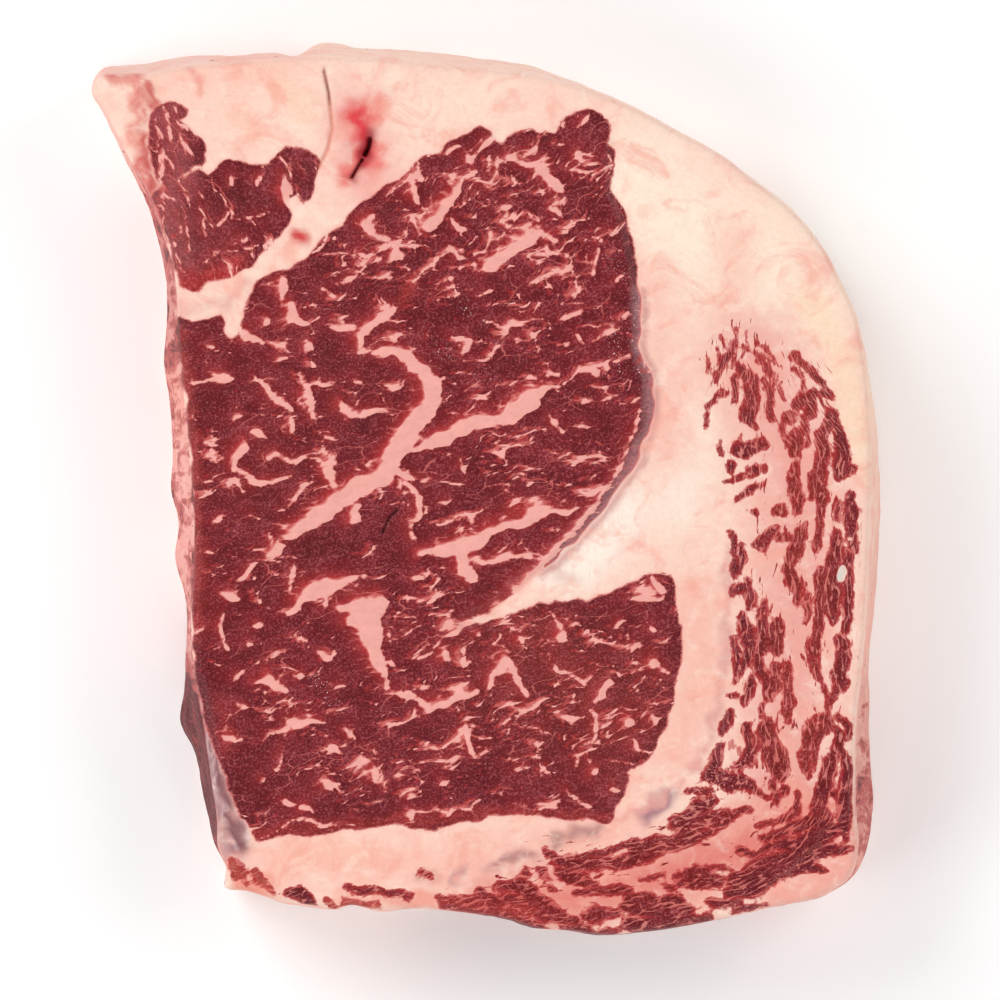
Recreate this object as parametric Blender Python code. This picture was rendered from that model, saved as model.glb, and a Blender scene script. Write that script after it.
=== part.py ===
"""Raw boneless beef ribeye steak, a thick slice that lies on its cut face.

Metres, +Z up. The origin is under the middle of the steak's box, on the surface that it lies on.
+Y runs to the thick fat edge, and +X to the side of the cap muscle. One closed body.
"""

import math

import bmesh
import bpy
from mathutils import Vector, noise
from mathutils.geometry import delaunay_2d_cdt

MM = 0.001

# Driving dimensions
THICKNESS = 32.0 * MM
EDGE_STEP = 3.0 * MM
TOP_GRID = 3.7 * MM
BOTTOM_GRID = 9.0 * MM
TOP_MARGIN = 1.5 * MM
BOTTOM_MARGIN = 5.0 * MM

# Edge of the upper cut face, in mm from the tip of the lip round by the fat edge: x, y and how far
# the side wall stands out beyond that edge at its widest.
CUT_EDGE = (
    (-72.6, 75.0, 0.7), (-71.1, 76.7, 1.8), (-67.2, 77.0, 2.4), (-62.8, 77.2, 2.7),
    (-56.0, 78.4, 2.7), (-47.0, 79.3, 2.0), (-40.0, 79.9, 1.8), (-34.6, 80.2, 1.3),
    (-32.6, 80.4, 2.6), (-24.0, 80.2, 2.5), (-13.0, 79.4, 2.5), (-2.0, 78.2, 2.6),
    (8.0, 77.1, 2.4), (17.2, 74.9, 0.8), (26.3, 71.3, 0.6), (35.4, 66.6, 0.4),
    (44.6, 61.4, 0.4), (49.9, 57.1, 0.5), (56.0, 52.4, 0.4), (61.4, 46.2, 0.4),
    (65.4, 39.3, 0.6), (68.6, 31.6, 0.9), (70.2, 22.8, 1.2), (71.2, 12.0, 1.8),
    (71.3, 3.0, 1.9), (70.9, -10.0, 2.5), (70.4, -22.0, 2.3), (69.5, -33.0, 2.1),
    (68.6, -41.0, 2.9), (68.1, -52.0, 3.7), (68.2, -60.0, 3.9), (68.7, -66.2, 2.6),
    (67.5, -71.2, 1.2), (62.9, -74.6, 0.7), (53.0, -77.1, 0.5), (41.0, -79.8, 0.5),
    (30.0, -81.6, 0.5), (22.0, -82.2, 0.6), (15.0, -81.4, 0.5), (9.8, -81.0, 0.6),
    (4.0, -79.3, 0.5), (-6.0, -77.9, 0.6), (-15.0, -77.3, 0.5), (-19.5, -77.8, 0.4),
    (-25.6, -76.8, 0.3), (-27.8, -77.6, 0.3), (-30.0, -77.1, 0.5), (-38.0, -76.0, 0.6),
    (-44.6, -74.1, 0.5), (-48.2, -73.6, 0.4), (-48.1, -70.0, 0.4), (-49.5, -66.4, 1.0),
    (-49.8, -61.0, 2.1), (-50.7, -54.5, 2.6), (-51.6, -47.5, 3.0), (-52.4, -42.0, 4.5),
    (-53.4, -36.5, 3.0), (-54.3, -30.0, 1.7), (-54.4, -21.5, 1.6), (-53.9, -12.5, 4.3),
    (-54.0, -6.0, 3.3), (-54.2, 0.0, 4.6), (-54.8, 8.0, 3.9), (-55.7, 17.0, 3.5),
    (-56.6, 25.0, 3.6), (-57.0, 31.0, 2.9), (-57.2, 37.0, 2.6), (-58.4, 43.5, 2.0),
    (-60.0, 48.5, 1.5), (-62.4, 54.8, 1.1), (-66.3, 62.1, 1.0), (-70.2, 70.0, 0.9),
)

# Side wall from the underside up to the upper cut face: share of the local height, share of the
# wall's reach beyond the cut edge, and inset from there in mm.
WALL_LEVELS = (
    (0.000, 0.85, 2.2),
    (0.035, 0.95, 0.6),
    (0.120, 1.00, 0.0),
    (0.320, 1.00, 0.0),
    (0.540, 0.74, 0.0),
    (0.760, 0.36, 0.0),
    (0.910, 0.10, 0.0),
    (0.965, 0.00, 0.0),
    (0.990, 0.00, 0.5),
    (1.000, 0.00, 1.4),
)
WALL_LUMP = 0.55 * MM
WALL_LUMP_LENGTH = 13.0 * MM

# Gentle swell of the upper cut face
SWELL = 0.45 * MM
SWELL_LENGTH = 34.0 * MM

# Where the cut eye muscle ends at the lower left, and the silverskin that slopes away from it
SILVERSKIN_EDGE = (
    (-54.6, -28.0), (-52.6, -36.5), (-51.2, -43.0), (-49.4, -48.5),
    (-47.9, -54.0), (-46.2, -58.5), (-44.2, -62.2), (-42.6, -65.0),
)
SILVERSKIN_SLOPE = 0.6
SILVERSKIN_START = 11.0 * MM
SILVERSKIN_END = 4.0 * MM

# Creases and slits of the upper cut face: route in mm, half width and depth
CREASES = {
    "beside the eye muscle": (
        ((23.6, 63.5), (23.7, 56.0), (25.8, 51.0), (28.0, 42.0), (28.9, 33.0), (28.7, 26.0),
         (30.8, 20.0), (30.6, 13.5), (29.0, 7.5), (25.8, 1.5), (20.0, -6.0), (12.0, -14.0),
         (4.0, -20.5), (-4.0, -24.5)),
        1.9 * MM, 0.9 * MM),
    "crack in the fat": (
        ((-30.1, 78.3), (-29.1, 73.5), (-28.4, 67.0), (-29.3, 63.0), (-30.9, 59.8)),
        0.6 * MM, 0.5 * MM),
    "upper vessel": (((-21.5, 65.0), (-22.3, 62.0)), 1.0 * MM, 3.0 * MM),
    "lower vessel": (((-23.0, 61.2), (-24.8, 58.0)), 0.7 * MM, 1.6 * MM),
    "slit in the eye muscle": (((-16.2, -3.9), (-18.2, -5.2), (-19.4, -7.8)), 0.6 * MM, 1.2 * MM),
}
VESSEL_CENTRE = Vector((-22.6, 62.2)) * MM
VESSEL_FUNNEL = 4.2 * MM
VESSEL_DEPTH = 1.1 * MM
CREASE_STEP = 2.2 * MM

# Finish
FLESH_COLOUR = (0.33, 0.055, 0.06, 1.0)
FLESH_ROUGHNESS = 0.42


def clear_scene():
    """Removes every object of the scene."""
    for item in list(bpy.data.objects):
        bpy.data.objects.remove(item, do_unlink=True)


def metres(points):
    """Flat points given in mm, as vectors in metres."""
    return [Vector(point) * MM for point in points]


def spline_loop(knots, step):
    """Closed smooth curve through the knots, sampled about every step. What follows x and y rides along."""
    count = len(knots)
    gaps = [(knots[(i + 1) % count].xy - knots[i].xy).length for i in range(count)]
    slopes = []
    for i in range(count):
        before, after = gaps[i - 1], gaps[i]
        arriving = (knots[i] - knots[i - 1]) / before
        leaving = (knots[(i + 1) % count] - knots[i]) / after
        slopes.append((arriving * after + leaving * before) / (before + after))
    samples = []
    for i in range(count):
        start, end = knots[i], knots[(i + 1) % count]
        pull_start, pull_end = slopes[i] * gaps[i], slopes[(i + 1) % count] * gaps[i]
        cuts = max(1, round(gaps[i] / step))
        for cut in range(cuts):
            t = cut / cuts
            samples.append(
                start * (2 * t**3 - 3 * t**2 + 1) + pull_start * (t**3 - 2 * t**2 + t)
                + end * (3 * t**2 - 2 * t**3) + pull_end * (t**3 - t**2))
    return samples


def outward_normals(loop):
    """Flat unit normals of a clockwise loop, each taken over two neighbours on both sides."""
    count = len(loop)
    normals = []
    for i in range(count):
        along = (loop[(i + 2) % count] - loop[i - 2]).xy
        normals.append(Vector((-along.y, along.x)).normalized())
    return normals


def segment_distance(point, start, end):
    """Distance from a flat point to a segment, and the side of it: positive on the left."""
    along = end - start
    share = max(0.0, min(1.0, (point - start).dot(along) / along.length_squared))
    offset = point - (start + along * share)
    side = along.x * offset.y - along.y * offset.x
    return offset.length, math.copysign(1.0, side)


def route_distance(point, route):
    """Signed distance to the nearest segment of a route: positive on its left."""
    distance, side = min(segment_distance(point, a, b) for a, b in zip(route, route[1:]))
    return distance * side


def smooth_step(value):
    """Eases from 0 to 1 as the value does."""
    value = max(0.0, min(1.0, value))
    return value * value * (3 - 2 * value)


def lump(point, length):
    """Smooth noise between about -1 and 1, with features of the given length."""
    return noise.noise(point / length)


CREASE_ROUTES = {name: metres(route) for name, (route, _, _) in CREASES.items()}
SILVERSKIN_ROUTE = metres(SILVERSKIN_EDGE)


def top_height(flat):
    """Height of the upper cut face over a flat point."""
    height = THICKNESS + SWELL * lump(Vector((flat.x, flat.y, 0.0)), SWELL_LENGTH)
    for name, (_, half_width, depth) in CREASES.items():
        distance = abs(route_distance(flat, CREASE_ROUTES[name]))
        height -= depth * (1 - smooth_step(distance / half_width))
    height -= VESSEL_DEPTH * (1 - smooth_step((flat - VESSEL_CENTRE).length / VESSEL_FUNNEL))
    outside = -route_distance(flat, SILVERSKIN_ROUTE)
    if outside > 0:
        start_fade = smooth_step((SILVERSKIN_ROUTE[0].y - flat.y) / SILVERSKIN_START)
        end_fade = smooth_step((flat.y - SILVERSKIN_ROUTE[-1].y) / SILVERSKIN_END)
        height -= SILVERSKIN_SLOPE * outside * start_fade * end_fade
    return height


def wall_rings():
    """Rings of points from the underside's edge up to the cut face's edge, all with the same count."""
    knots = [Vector(point) * MM for point in CUT_EDGE]
    edge = spline_loop(knots, EDGE_STEP)
    normals = outward_normals(edge)
    rings = []
    for height_share, reach_share, inset in WALL_LEVELS:
        ring = []
        for sample, normal in zip(edge, normals):
            height = height_share * top_height(sample.xy)
            lumps = WALL_LUMP * lump(Vector((sample.x, sample.y, height)), WALL_LUMP_LENGTH)
            swell = math.sin(math.pi * height_share) * lumps
            flat = sample.xy + normal * (sample.z * reach_share + swell - inset * MM)
            ring.append(Vector((flat.x, flat.y, height)))
        rings.append(ring)
    return rings


def inside_loop(point, loop, margin):
    """Whether a flat point lies inside a loop and at least a margin away from it."""
    inside = False
    for a, b in zip(loop, loop[1:] + loop[:1]):
        if (a.y > point.y) != (b.y > point.y):
            if point.x < a.x + (point.y - a.y) * (b.x - a.x) / (b.y - a.y):
                inside = not inside
        if segment_distance(point, a, b)[0] < margin:
            return False
    return inside


def staggered_grid(loop, spacing, margin):
    """Points in staggered rows inside a loop."""
    low_x, high_x = min(p.x for p in loop), max(p.x for p in loop)
    low_y, high_y = min(p.y for p in loop), max(p.y for p in loop)
    row_gap = spacing * math.sqrt(3) / 2
    points = []
    for row in range(int((high_y - low_y) / row_gap) + 1):
        for column in range(int((high_x - low_x) / spacing) + 2):
            point = Vector((low_x + (column - 0.5 * (row % 2)) * spacing, low_y + row * row_gap))
            if inside_loop(point, loop, margin):
                points.append(point)
    return points


def crease_points():
    """Points down the middle of each crease and along both of its lips."""
    points = []
    for name, (_, half_width, _) in CREASES.items():
        route = CREASE_ROUTES[name]
        for start, end in zip(route, route[1:]):
            along = end - start
            across = Vector((-along.y, along.x)).normalized() * half_width
            cuts = max(1, round(along.length / CREASE_STEP))
            for cut in range(cuts):
                middle = start + along * (cut / cuts)
                points += [middle, middle + across, middle - across]
        points.append(route[-1])
    return points


def spread(points, gap):
    """The points in their order, without any that lie nearer than a gap to an earlier one."""
    kept = []
    for point in points:
        if all((point - other).length >= gap for other in kept):
            kept.append(point)
    return kept


def fill_ring(mesh, ring, points, height_of):
    """Closes a ring with triangles through the inner points, each at its own height."""
    flat = [vertex.co.xy for vertex in ring] + points
    borders = [(i, (i + 1) % len(ring)) for i in range(len(ring))]
    vertices = ring + [mesh.verts.new((p.x, p.y, height_of(p))) for p in points]
    found = delaunay_2d_cdt(flat, borders, [], 1, 1e-7)
    for face in found[2]:
        mesh.faces.new([vertices[found[3][corner][0]] for corner in face])


def steak_mesh():
    """The whole steak as one closed mesh."""
    mesh = bmesh.new()
    rings = [[mesh.verts.new(point) for point in ring] for ring in wall_rings()]
    for lower, upper in zip(rings, rings[1:]):
        count = len(lower)
        for i in range(count):
            j = (i + 1) % count
            mesh.faces.new((lower[i], upper[i], upper[j]))
            mesh.faces.new((lower[i], upper[j], lower[j]))
    top_loop = [vertex.co.xy for vertex in rings[-1]]
    creased = [p for p in crease_points() if inside_loop(p, top_loop, TOP_MARGIN / 2)]
    open_points = staggered_grid(top_loop, TOP_GRID, TOP_MARGIN)
    top_points = spread(creased, 0.45 * MM)
    top_points += [p for p in open_points if all((p - q).length > 1.6 * MM for q in creased)]
    fill_ring(mesh, rings[-1], top_points, top_height)
    bottom_loop = [vertex.co.xy for vertex in rings[0]]
    bottom_points = staggered_grid(bottom_loop, BOTTOM_GRID, BOTTOM_MARGIN)
    fill_ring(mesh, rings[0], bottom_points, lambda _: 0.0)
    bmesh.ops.recalc_face_normals(mesh, faces=mesh.faces)
    return mesh


def centre_on_origin(mesh):
    """Moves the mesh sideways until the middle of its box stands over the origin."""
    xs = [vertex.co.x for vertex in mesh.verts]
    ys = [vertex.co.y for vertex in mesh.verts]
    shift = Vector(((min(xs) + max(xs)) / 2, (min(ys) + max(ys)) / 2, 0.0))
    bmesh.ops.translate(mesh, verts=mesh.verts, vec=-shift)


def raw_beef():
    """Moist raw beef, at the mean colour of the lean."""
    material = bpy.data.materials.new("raw_beef")
    material.use_nodes = True
    shader = material.node_tree.nodes["Principled BSDF"]
    shader.inputs["Base Color"].default_value = FLESH_COLOUR
    shader.inputs["Roughness"].default_value = FLESH_ROUGHNESS
    shader.inputs["Metallic"].default_value = 0.0
    return material


def build_steak():
    """Adds the finished steak to the scene."""
    mesh = steak_mesh()
    centre_on_origin(mesh)
    data = bpy.data.meshes.new("ribeye_steak")
    mesh.to_mesh(data)
    mesh.free()
    data.shade_smooth()
    data.materials.append(raw_beef())
    steak = bpy.data.objects.new("ribeye_steak", data)
    bpy.context.collection.objects.link(steak)
    return steak


clear_scene()
build_steak()
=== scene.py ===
"""Raw boneless beef ribeye steak, thick and marbled, lying on its lower cut face.

The steak is one piece of flesh. Its shape repeats the rule of the part's solid on a fine mesh, and
every place on it carries what the tissue is there: how deep in lean or in fat, which way the grain
runs, and its tone. The finish turns that into flesh. Sizes are in millimetres until the mesh is
made, which is in metres, and places are (x, y) on the cut face before the steak is centred.
"""

import logging
import math
from dataclasses import dataclass, field
from enum import Enum
from typing import Iterable, Optional, Sequence, Union

import bpy
import numpy as np
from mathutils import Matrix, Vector, noise
from mathutils.geometry import delaunay_2d_cdt


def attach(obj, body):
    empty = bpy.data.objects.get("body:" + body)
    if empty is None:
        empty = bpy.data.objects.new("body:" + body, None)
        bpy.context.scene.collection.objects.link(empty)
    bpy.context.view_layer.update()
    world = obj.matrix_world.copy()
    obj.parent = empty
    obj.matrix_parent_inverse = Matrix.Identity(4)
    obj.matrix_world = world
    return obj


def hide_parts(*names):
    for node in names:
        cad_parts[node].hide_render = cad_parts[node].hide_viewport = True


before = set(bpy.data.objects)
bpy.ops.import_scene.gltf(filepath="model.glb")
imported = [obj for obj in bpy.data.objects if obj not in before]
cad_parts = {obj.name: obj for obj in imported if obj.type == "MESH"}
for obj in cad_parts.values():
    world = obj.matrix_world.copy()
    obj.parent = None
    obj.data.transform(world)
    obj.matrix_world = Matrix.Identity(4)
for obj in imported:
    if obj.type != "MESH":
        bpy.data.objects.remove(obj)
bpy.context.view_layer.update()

Triple = tuple[float, float, float]
Tone = Triple
Route = Sequence[tuple[float, float]]
Stroke = Sequence[Union[tuple[float, float], tuple[float, float, float], float]]

MM = 0.001
LOG = logging.getLogger("steak")


class Cells(Enum):
    """What is measured in a pattern of cells."""

    MIDDLE = "F1"
    BORDER = "DISTANCE_TO_EDGE"


# Edge of the upper cut face, from the tip of the lip round by the fat edge: x, y and how far the
# side wall stands out beyond that edge at its widest
CUT_EDGE = (
    (-72.6, 75.0, 0.7), (-71.1, 76.7, 1.8), (-67.2, 77.0, 2.4), (-62.8, 77.2, 2.7),
    (-56.0, 78.4, 2.7), (-47.0, 79.3, 2.0), (-40.0, 79.9, 1.8), (-34.6, 80.2, 1.3),
    (-32.6, 80.4, 2.6), (-24.0, 80.2, 2.5), (-13.0, 79.4, 2.5), (-2.0, 78.2, 2.6),
    (8.0, 77.1, 2.4), (17.2, 74.9, 0.8), (26.3, 71.3, 0.6), (35.4, 66.6, 0.4),
    (44.6, 61.4, 0.4), (49.9, 57.1, 0.5), (56.0, 52.4, 0.4), (61.4, 46.2, 0.4),
    (65.4, 39.3, 0.6), (68.6, 31.6, 0.9), (70.2, 22.8, 1.2), (71.2, 12.0, 1.8),
    (71.3, 3.0, 1.9), (70.9, -10.0, 2.5), (70.4, -22.0, 2.3), (69.5, -33.0, 2.1),
    (68.6, -41.0, 2.9), (68.1, -52.0, 3.7), (68.2, -60.0, 3.9), (68.7, -66.2, 2.6),
    (67.5, -71.2, 1.2), (62.9, -74.6, 0.7), (53.0, -77.1, 0.5), (41.0, -79.8, 0.5),
    (30.0, -81.6, 0.5), (22.0, -82.2, 0.6), (15.0, -81.4, 0.5), (9.8, -81.0, 0.6),
    (4.0, -79.3, 0.5), (-6.0, -77.9, 0.6), (-15.0, -77.3, 0.5), (-19.5, -77.8, 0.4),
    (-25.6, -76.8, 0.3), (-27.8, -77.6, 0.3), (-30.0, -77.1, 0.5), (-38.0, -76.0, 0.6),
    (-44.6, -74.1, 0.5), (-48.2, -73.6, 0.4), (-48.1, -70.0, 0.4), (-49.5, -66.4, 1.0),
    (-49.8, -61.0, 2.1), (-50.7, -54.5, 2.6), (-51.6, -47.5, 3.0), (-52.4, -42.0, 4.5),
    (-53.4, -36.5, 3.0), (-54.3, -30.0, 1.7), (-54.4, -21.5, 1.6), (-53.9, -12.5, 4.3),
    (-54.0, -6.0, 3.3), (-54.2, 0.0, 4.6), (-54.8, 8.0, 3.9), (-55.7, 17.0, 3.5),
    (-56.6, 25.0, 3.6), (-57.0, 31.0, 2.9), (-57.2, 37.0, 2.6), (-58.4, 43.5, 2.0),
    (-60.0, 48.5, 1.5), (-62.4, 54.8, 1.1), (-66.3, 62.1, 1.0), (-70.2, 70.0, 0.9),
)

# Side wall from the underside up: share of the height, share of the reach, inset
WALL_PROFILE = (
    (0.000, 0.85, 2.2), (0.035, 0.95, 0.6), (0.120, 1.00, 0.0), (0.320, 1.00, 0.0),
    (0.540, 0.74, 0.0), (0.760, 0.36, 0.0), (0.910, 0.10, 0.0), (0.965, 0.00, 0.0),
    (0.990, 0.00, 0.5), (1.000, 0.00, 1.4),
)

# Where the cut eye muscle ends at the lower left and its silverskin slopes away
SILVERSKIN_EDGE = (
    (-54.6, -28.0), (-52.6, -36.5), (-51.2, -43.0), (-49.4, -48.5),
    (-47.9, -54.0), (-46.2, -58.5), (-44.2, -62.2), (-42.6, -65.0),
)

# Creases and slits of the upper cut face: route, half width, depth
CREASES = {
    "beside the eye muscle": (
        ((23.6, 63.5), (23.7, 56.0), (25.8, 51.0), (28.0, 42.0), (28.9, 33.0), (28.7, 26.0),
         (30.8, 20.0), (30.6, 13.5), (29.0, 7.5), (25.8, 1.5), (20.0, -6.0), (12.0, -14.0),
         (4.0, -20.5), (-4.0, -24.5)), 1.9, 0.9),
    "crack in the fat": (
        ((-30.1, 78.3), (-29.1, 73.5), (-28.4, 67.0), (-29.3, 63.0), (-30.9, 59.8)), 0.6, 0.5),
    "upper vessel": (((-21.5, 65.0), (-21.7, 63.6), (-22.4, 62.2)), 0.65, 2.2),
    "lower vessel": (((-22.9, 61.2), (-23.6, 60.2), (-24.8, 58.0)), 0.45, 1.3),
    "slit in the eye muscle": (((-16.4, -3.6), (-17.9, -5.0), (-19.2, -7.8)), 0.38, 0.8),
}

# Outline of the eye muscle with the muscle under it, and of the two lobes of the corner muscle
EYE_MUSCLE = (
    (-57, 32.2), (-53.5, 31.4), (-51, 32), (-49, 32.4), (-48, 31.3), (-47.8, 29.5), (-46.5, 28),
    (-45.3, 29.5), (-44.9, 33), (-43.5, 36.5), (-41.5, 39), (-39, 40.3), (-35.5, 41.5),
    (-33, 43.8), (-30, 47), (-27, 49.3), (-24, 52), (-20, 55.3), (-17, 57.5), (-14.5, 58.8),
    (-12.5, 60.5), (-10.8, 62), (-9, 62.5), (-7.5, 64), (-5.5, 65.3), (-3, 66.2), (-0.8, 67.2),
    (0.9, 66.2), (1.6, 64.5), (3, 64.2), (4, 65.5), (6, 66.6), (8, 66.5), (9.5, 65.8),
    (11.5, 66.3), (13, 66.3), (14, 68), (15.5, 69.3), (17.5, 70.3), (19, 70.4), (21, 69.7),
    (22.3, 68.5), (22.7, 67), (22.3, 65.5), (22.6, 64), (23.7, 63.8), (23.9, 61), (23.6, 57.5),
    (23.5, 55), (25, 53), (25.8, 51), (26.5, 48.5), (27.3, 44), (28.1, 41), (28.3, 37.5),
    (28.6, 33), (28.3, 29), (28.2, 26), (29.5, 23.5), (30.7, 20.5), (31, 17.5), (30.5, 13),
    (29, 8.5), (27, 4), (24.5, 0.5), (21, -4.5), (17, -8.5), (13.5, -12), (10, -15), (6, -18.5),
    (3, -20.7), (0, -22.3), (-3, -23.6), (-1, -24.6), (2, -23.3), (5.5, -22.8), (8, -21.5),
    (12, -20.8), (16, -20.2), (18.5, -20.3), (21.5, -19.5), (24, -18.3), (26.5, -17),
    (29, -16.3), (30.5, -15.5), (32.5, -15.2), (34, -15.8), (34.7, -17.5), (35, -20),
    (35.5, -23.5), (36.3, -27), (36.2, -31), (35.5, -34), (34.7, -37), (34, -41), (32.5, -45),
    (31, -47.5), (30, -50), (28, -51), (26.5, -51.8), (27, -53), (26, -56), (24.5, -58),
    (23.5, -60.5), (22.3, -61.5), (20, -61.3), (16, -60.8), (10, -60.2), (4, -60), (0, -60.4),
    (-5, -61.5), (-9.5, -62.7), (-13, -62.5), (-17, -61.8), (-22, -62.5), (-26, -62.8),
    (-30, -63.5), (-34, -64), (-39, -64), (-42.7, -64.8), (-43.5, -63), (-45.5, -60), (-47, -57),
    (-48.3, -53), (-49.5, -49), (-51.2, -45), (-52.4, -40.5), (-53.7, -35), (-54.4, -28),
    (-54.5, -18), (-54, -10), (-54.2, -5), (-54.6, 0), (-55, 8), (-55.6, 12), (-55.8, 18),
    (-56.4, 20), (-56.8, 24), (-57.3, 28),
)
CORNER_MUSCLE = (
    ((-61.5, 70.5), (-59, 72), (-57, 71.2), (-55.2, 70.8), (-55.3, 69.8), (-56.5, 68.5),
     (-53.8, 66.5), (-52.3, 64), (-51.7, 62), (-52.5, 60.5), (-54.5, 60), (-55.5, 59),
     (-60.3, 56.8), (-61, 58.5), (-62, 61), (-62, 68)),
    ((-55, 58.5), (-53, 59.3), (-51, 59), (-50, 59.5), (-49, 60.7), (-46, 60.8), (-43, 60.2),
     (-40, 60.2), (-39.3, 61.5), (-38, 62.8), (-36.5, 63.5), (-34.5, 63.4), (-32.5, 62.6),
     (-31, 61.2), (-31, 59.5), (-31.5, 57), (-32.5, 54.5), (-33.8, 52.8), (-35, 55),
     (-36.3, 54), (-36.3, 51), (-37.5, 48), (-39.5, 46), (-41, 44), (-43, 42), (-45.5, 40.5),
     (-48, 39.5), (-51, 38.5), (-54, 36.8), (-56, 37.5), (-57.2, 39.5), (-58.5, 45),
     (-59.5, 48), (-60.5, 51), (-61.8, 54)),
)

# Right edge of the eye muscle, where its side shows below the cut
EYE_SIDE = (
    (28.3, 37), (28.6, 33), (28.3, 29), (28.3, 26), (29.7, 23), (30.8, 19), (30.2, 13),
    (28.7, 8.7), (26.6, 4.3), (24.1, 0.8), (20.6, -4.2), (16.6, -8.2), (13.1, -11.7), (9.6, -14.7),
    (5.4, -18.2),
)

# Seams of fat between the muscles and through them. A stroke is its points, each with its half
# width, or the points and one half width for all of them
SEAMS: tuple[Stroke, ...] = (
    ((10, -16.5, 1.6), (5, -20.8, 1.1), (0, -23.1, .6), (-4, -24.9, .45), (-8, -28, .4),
     (-12, -31, .25)),
    ((-23.3, 25.5, .4), (-20, 25.6, .6), (-17, 25.6, .9), (-14.5, 24.5, 1.1), (-12, 22, 1.4),
     (-10.3, 19.5, 1.6), (-10, 17, 1.7), (-11, 14.5, 1.8), (-13.5, 11.5, 1.8),
     (-15.8, 8.5, 1.8), (-17.3, 5.5, 2), (-18.5, 3, 2.2), (-21, 1.5, 1.6), (-24.5, .3, 1.8),
     (-27, -1.7, 1.8), (-30, -4.3, 1.5), (-33, -6.3, 1.2), (-36, -8, .9), (-37.7, -9, .4)),
    ((-23.5, 26, .5), (-23, 28.5, .9), (-21, 30.5, 1), (-18.5, 32, 1), (-17, 33.7, .5)),
    ((-24.5, 30, .5), (-27, 30.2, .45), (-30, 30.5, .3)),
    ((-16.3, 3.5, .9), (-14.5, 2.2, .6), (-10, 1.8, .35), (-3, .8, .3)),
    ((-14.8, 1.2, .6), (-13, -.5, .6), (-12, -2, .6), (-12.1, -3.8, .6), (-13.3, -5.5, .6),
     (-14.3, -6.3, .5), (-13.3, -9, .4)),
    ((-24.3, -5.3, .9), (-24, -3, .9)),
    ((-14, 7.8, .4), (-10, 8.5, 1), (-7, 10, 1.2), (-3, 12.3, 1.4), (0, 12.7, 1.4),
     (3, 13, 1.2), (6, 14.8, 1.8), (8.5, 16.8, 2), (10.5, 18.5, 1.2), (12, 19.3, .4)),
    ((-12, -12, .7), (-8, -11, 1), (-4.5, -10.5, 1.6), (-1.5, -9.5, 1.4), (1, -7.5, 1),
     (4, -6.6, .8), (7, -6, .7), (9, -4.5, 1.6), (12, -3.7, .9), (15, -3.9, .6),
     (17, -3.5, .5)),
    ((-4.5, -11.5, 1), (-4, -14, 1.2), (-2.5, -16, 1)),
    ((-2, -13, .8), (-.5, -13.8, .7), (2, -13, .7), (4.5, -12, .7), (8, -12.2, .4)),
    ((-5, -9), (-4.8, -6.5), .45),
    ((28.5, 15, .35), (27, 10, .4), (25.5, 5, .45), (22, 0, .5), (18.5, -5, .55),
     (14, -10, .6), (10, -14, .7), (5, -19, .7)),
    # Crumbs on the cap muscle
    ((66.1, -14.6), (66.1, -16.4), 1.1), ((67.2, -8.8), (67.4, -9.3), .6),
    # Corner muscle
    ((-37.5, 58), (-36.2, 53), 1.0), ((-47.5, 56), (-46.8, 58), (-45.8, 58.5), .4),
    ((-42.5, 56.3), (-41.3, 58.8), .45), ((-47, 45.5), (-44, 46.8), .4),
    ((-50.5, 44), (-42.5, 45), .3), ((-57, 67.5), (-54.5, 66.5), .5),
    ((-58.6, 70), (-58.4, 65), (-57, 60), .32), ((-60.4, 66), (-59.6, 61), (-60.2, 57), .3),
    ((-56.4, 65), (-54.2, 61.6), .35), ((-58, 54), (-56.5, 48), .35), ((-55.5, 50), (-54.5, 44), .3),
    ((-52.5, 52), (-51.5, 47), .3), ((-56.5, 57), (-54.8, 54), .4), ((-46, 50), (-39, 51.5), .3),
    ((-60.6, 69.5), (-60.9, 63), .3), ((-57.2, 69), (-56.6, 64.5), .3), ((-58.9, 62), (-57.6, 57.5), .32),
    ((-60, 52.5), (-58.6, 45.5), .35), ((-57.2, 44), (-56, 39.5), .32), ((-54.2, 57), (-50.5, 52.5), .28),
    ((-53.5, 41.5), (-50, 43.5), .28), ((-49.5, 48.5), (-47.6, 52), .28), ((-43.6, 50), (-40.5, 48.6), .25),
    ((-38.2, 61.4), (-36.4, 59.4), .3), ((-34.4, 61.6), (-33.4, 58.2), .3),
)

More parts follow.
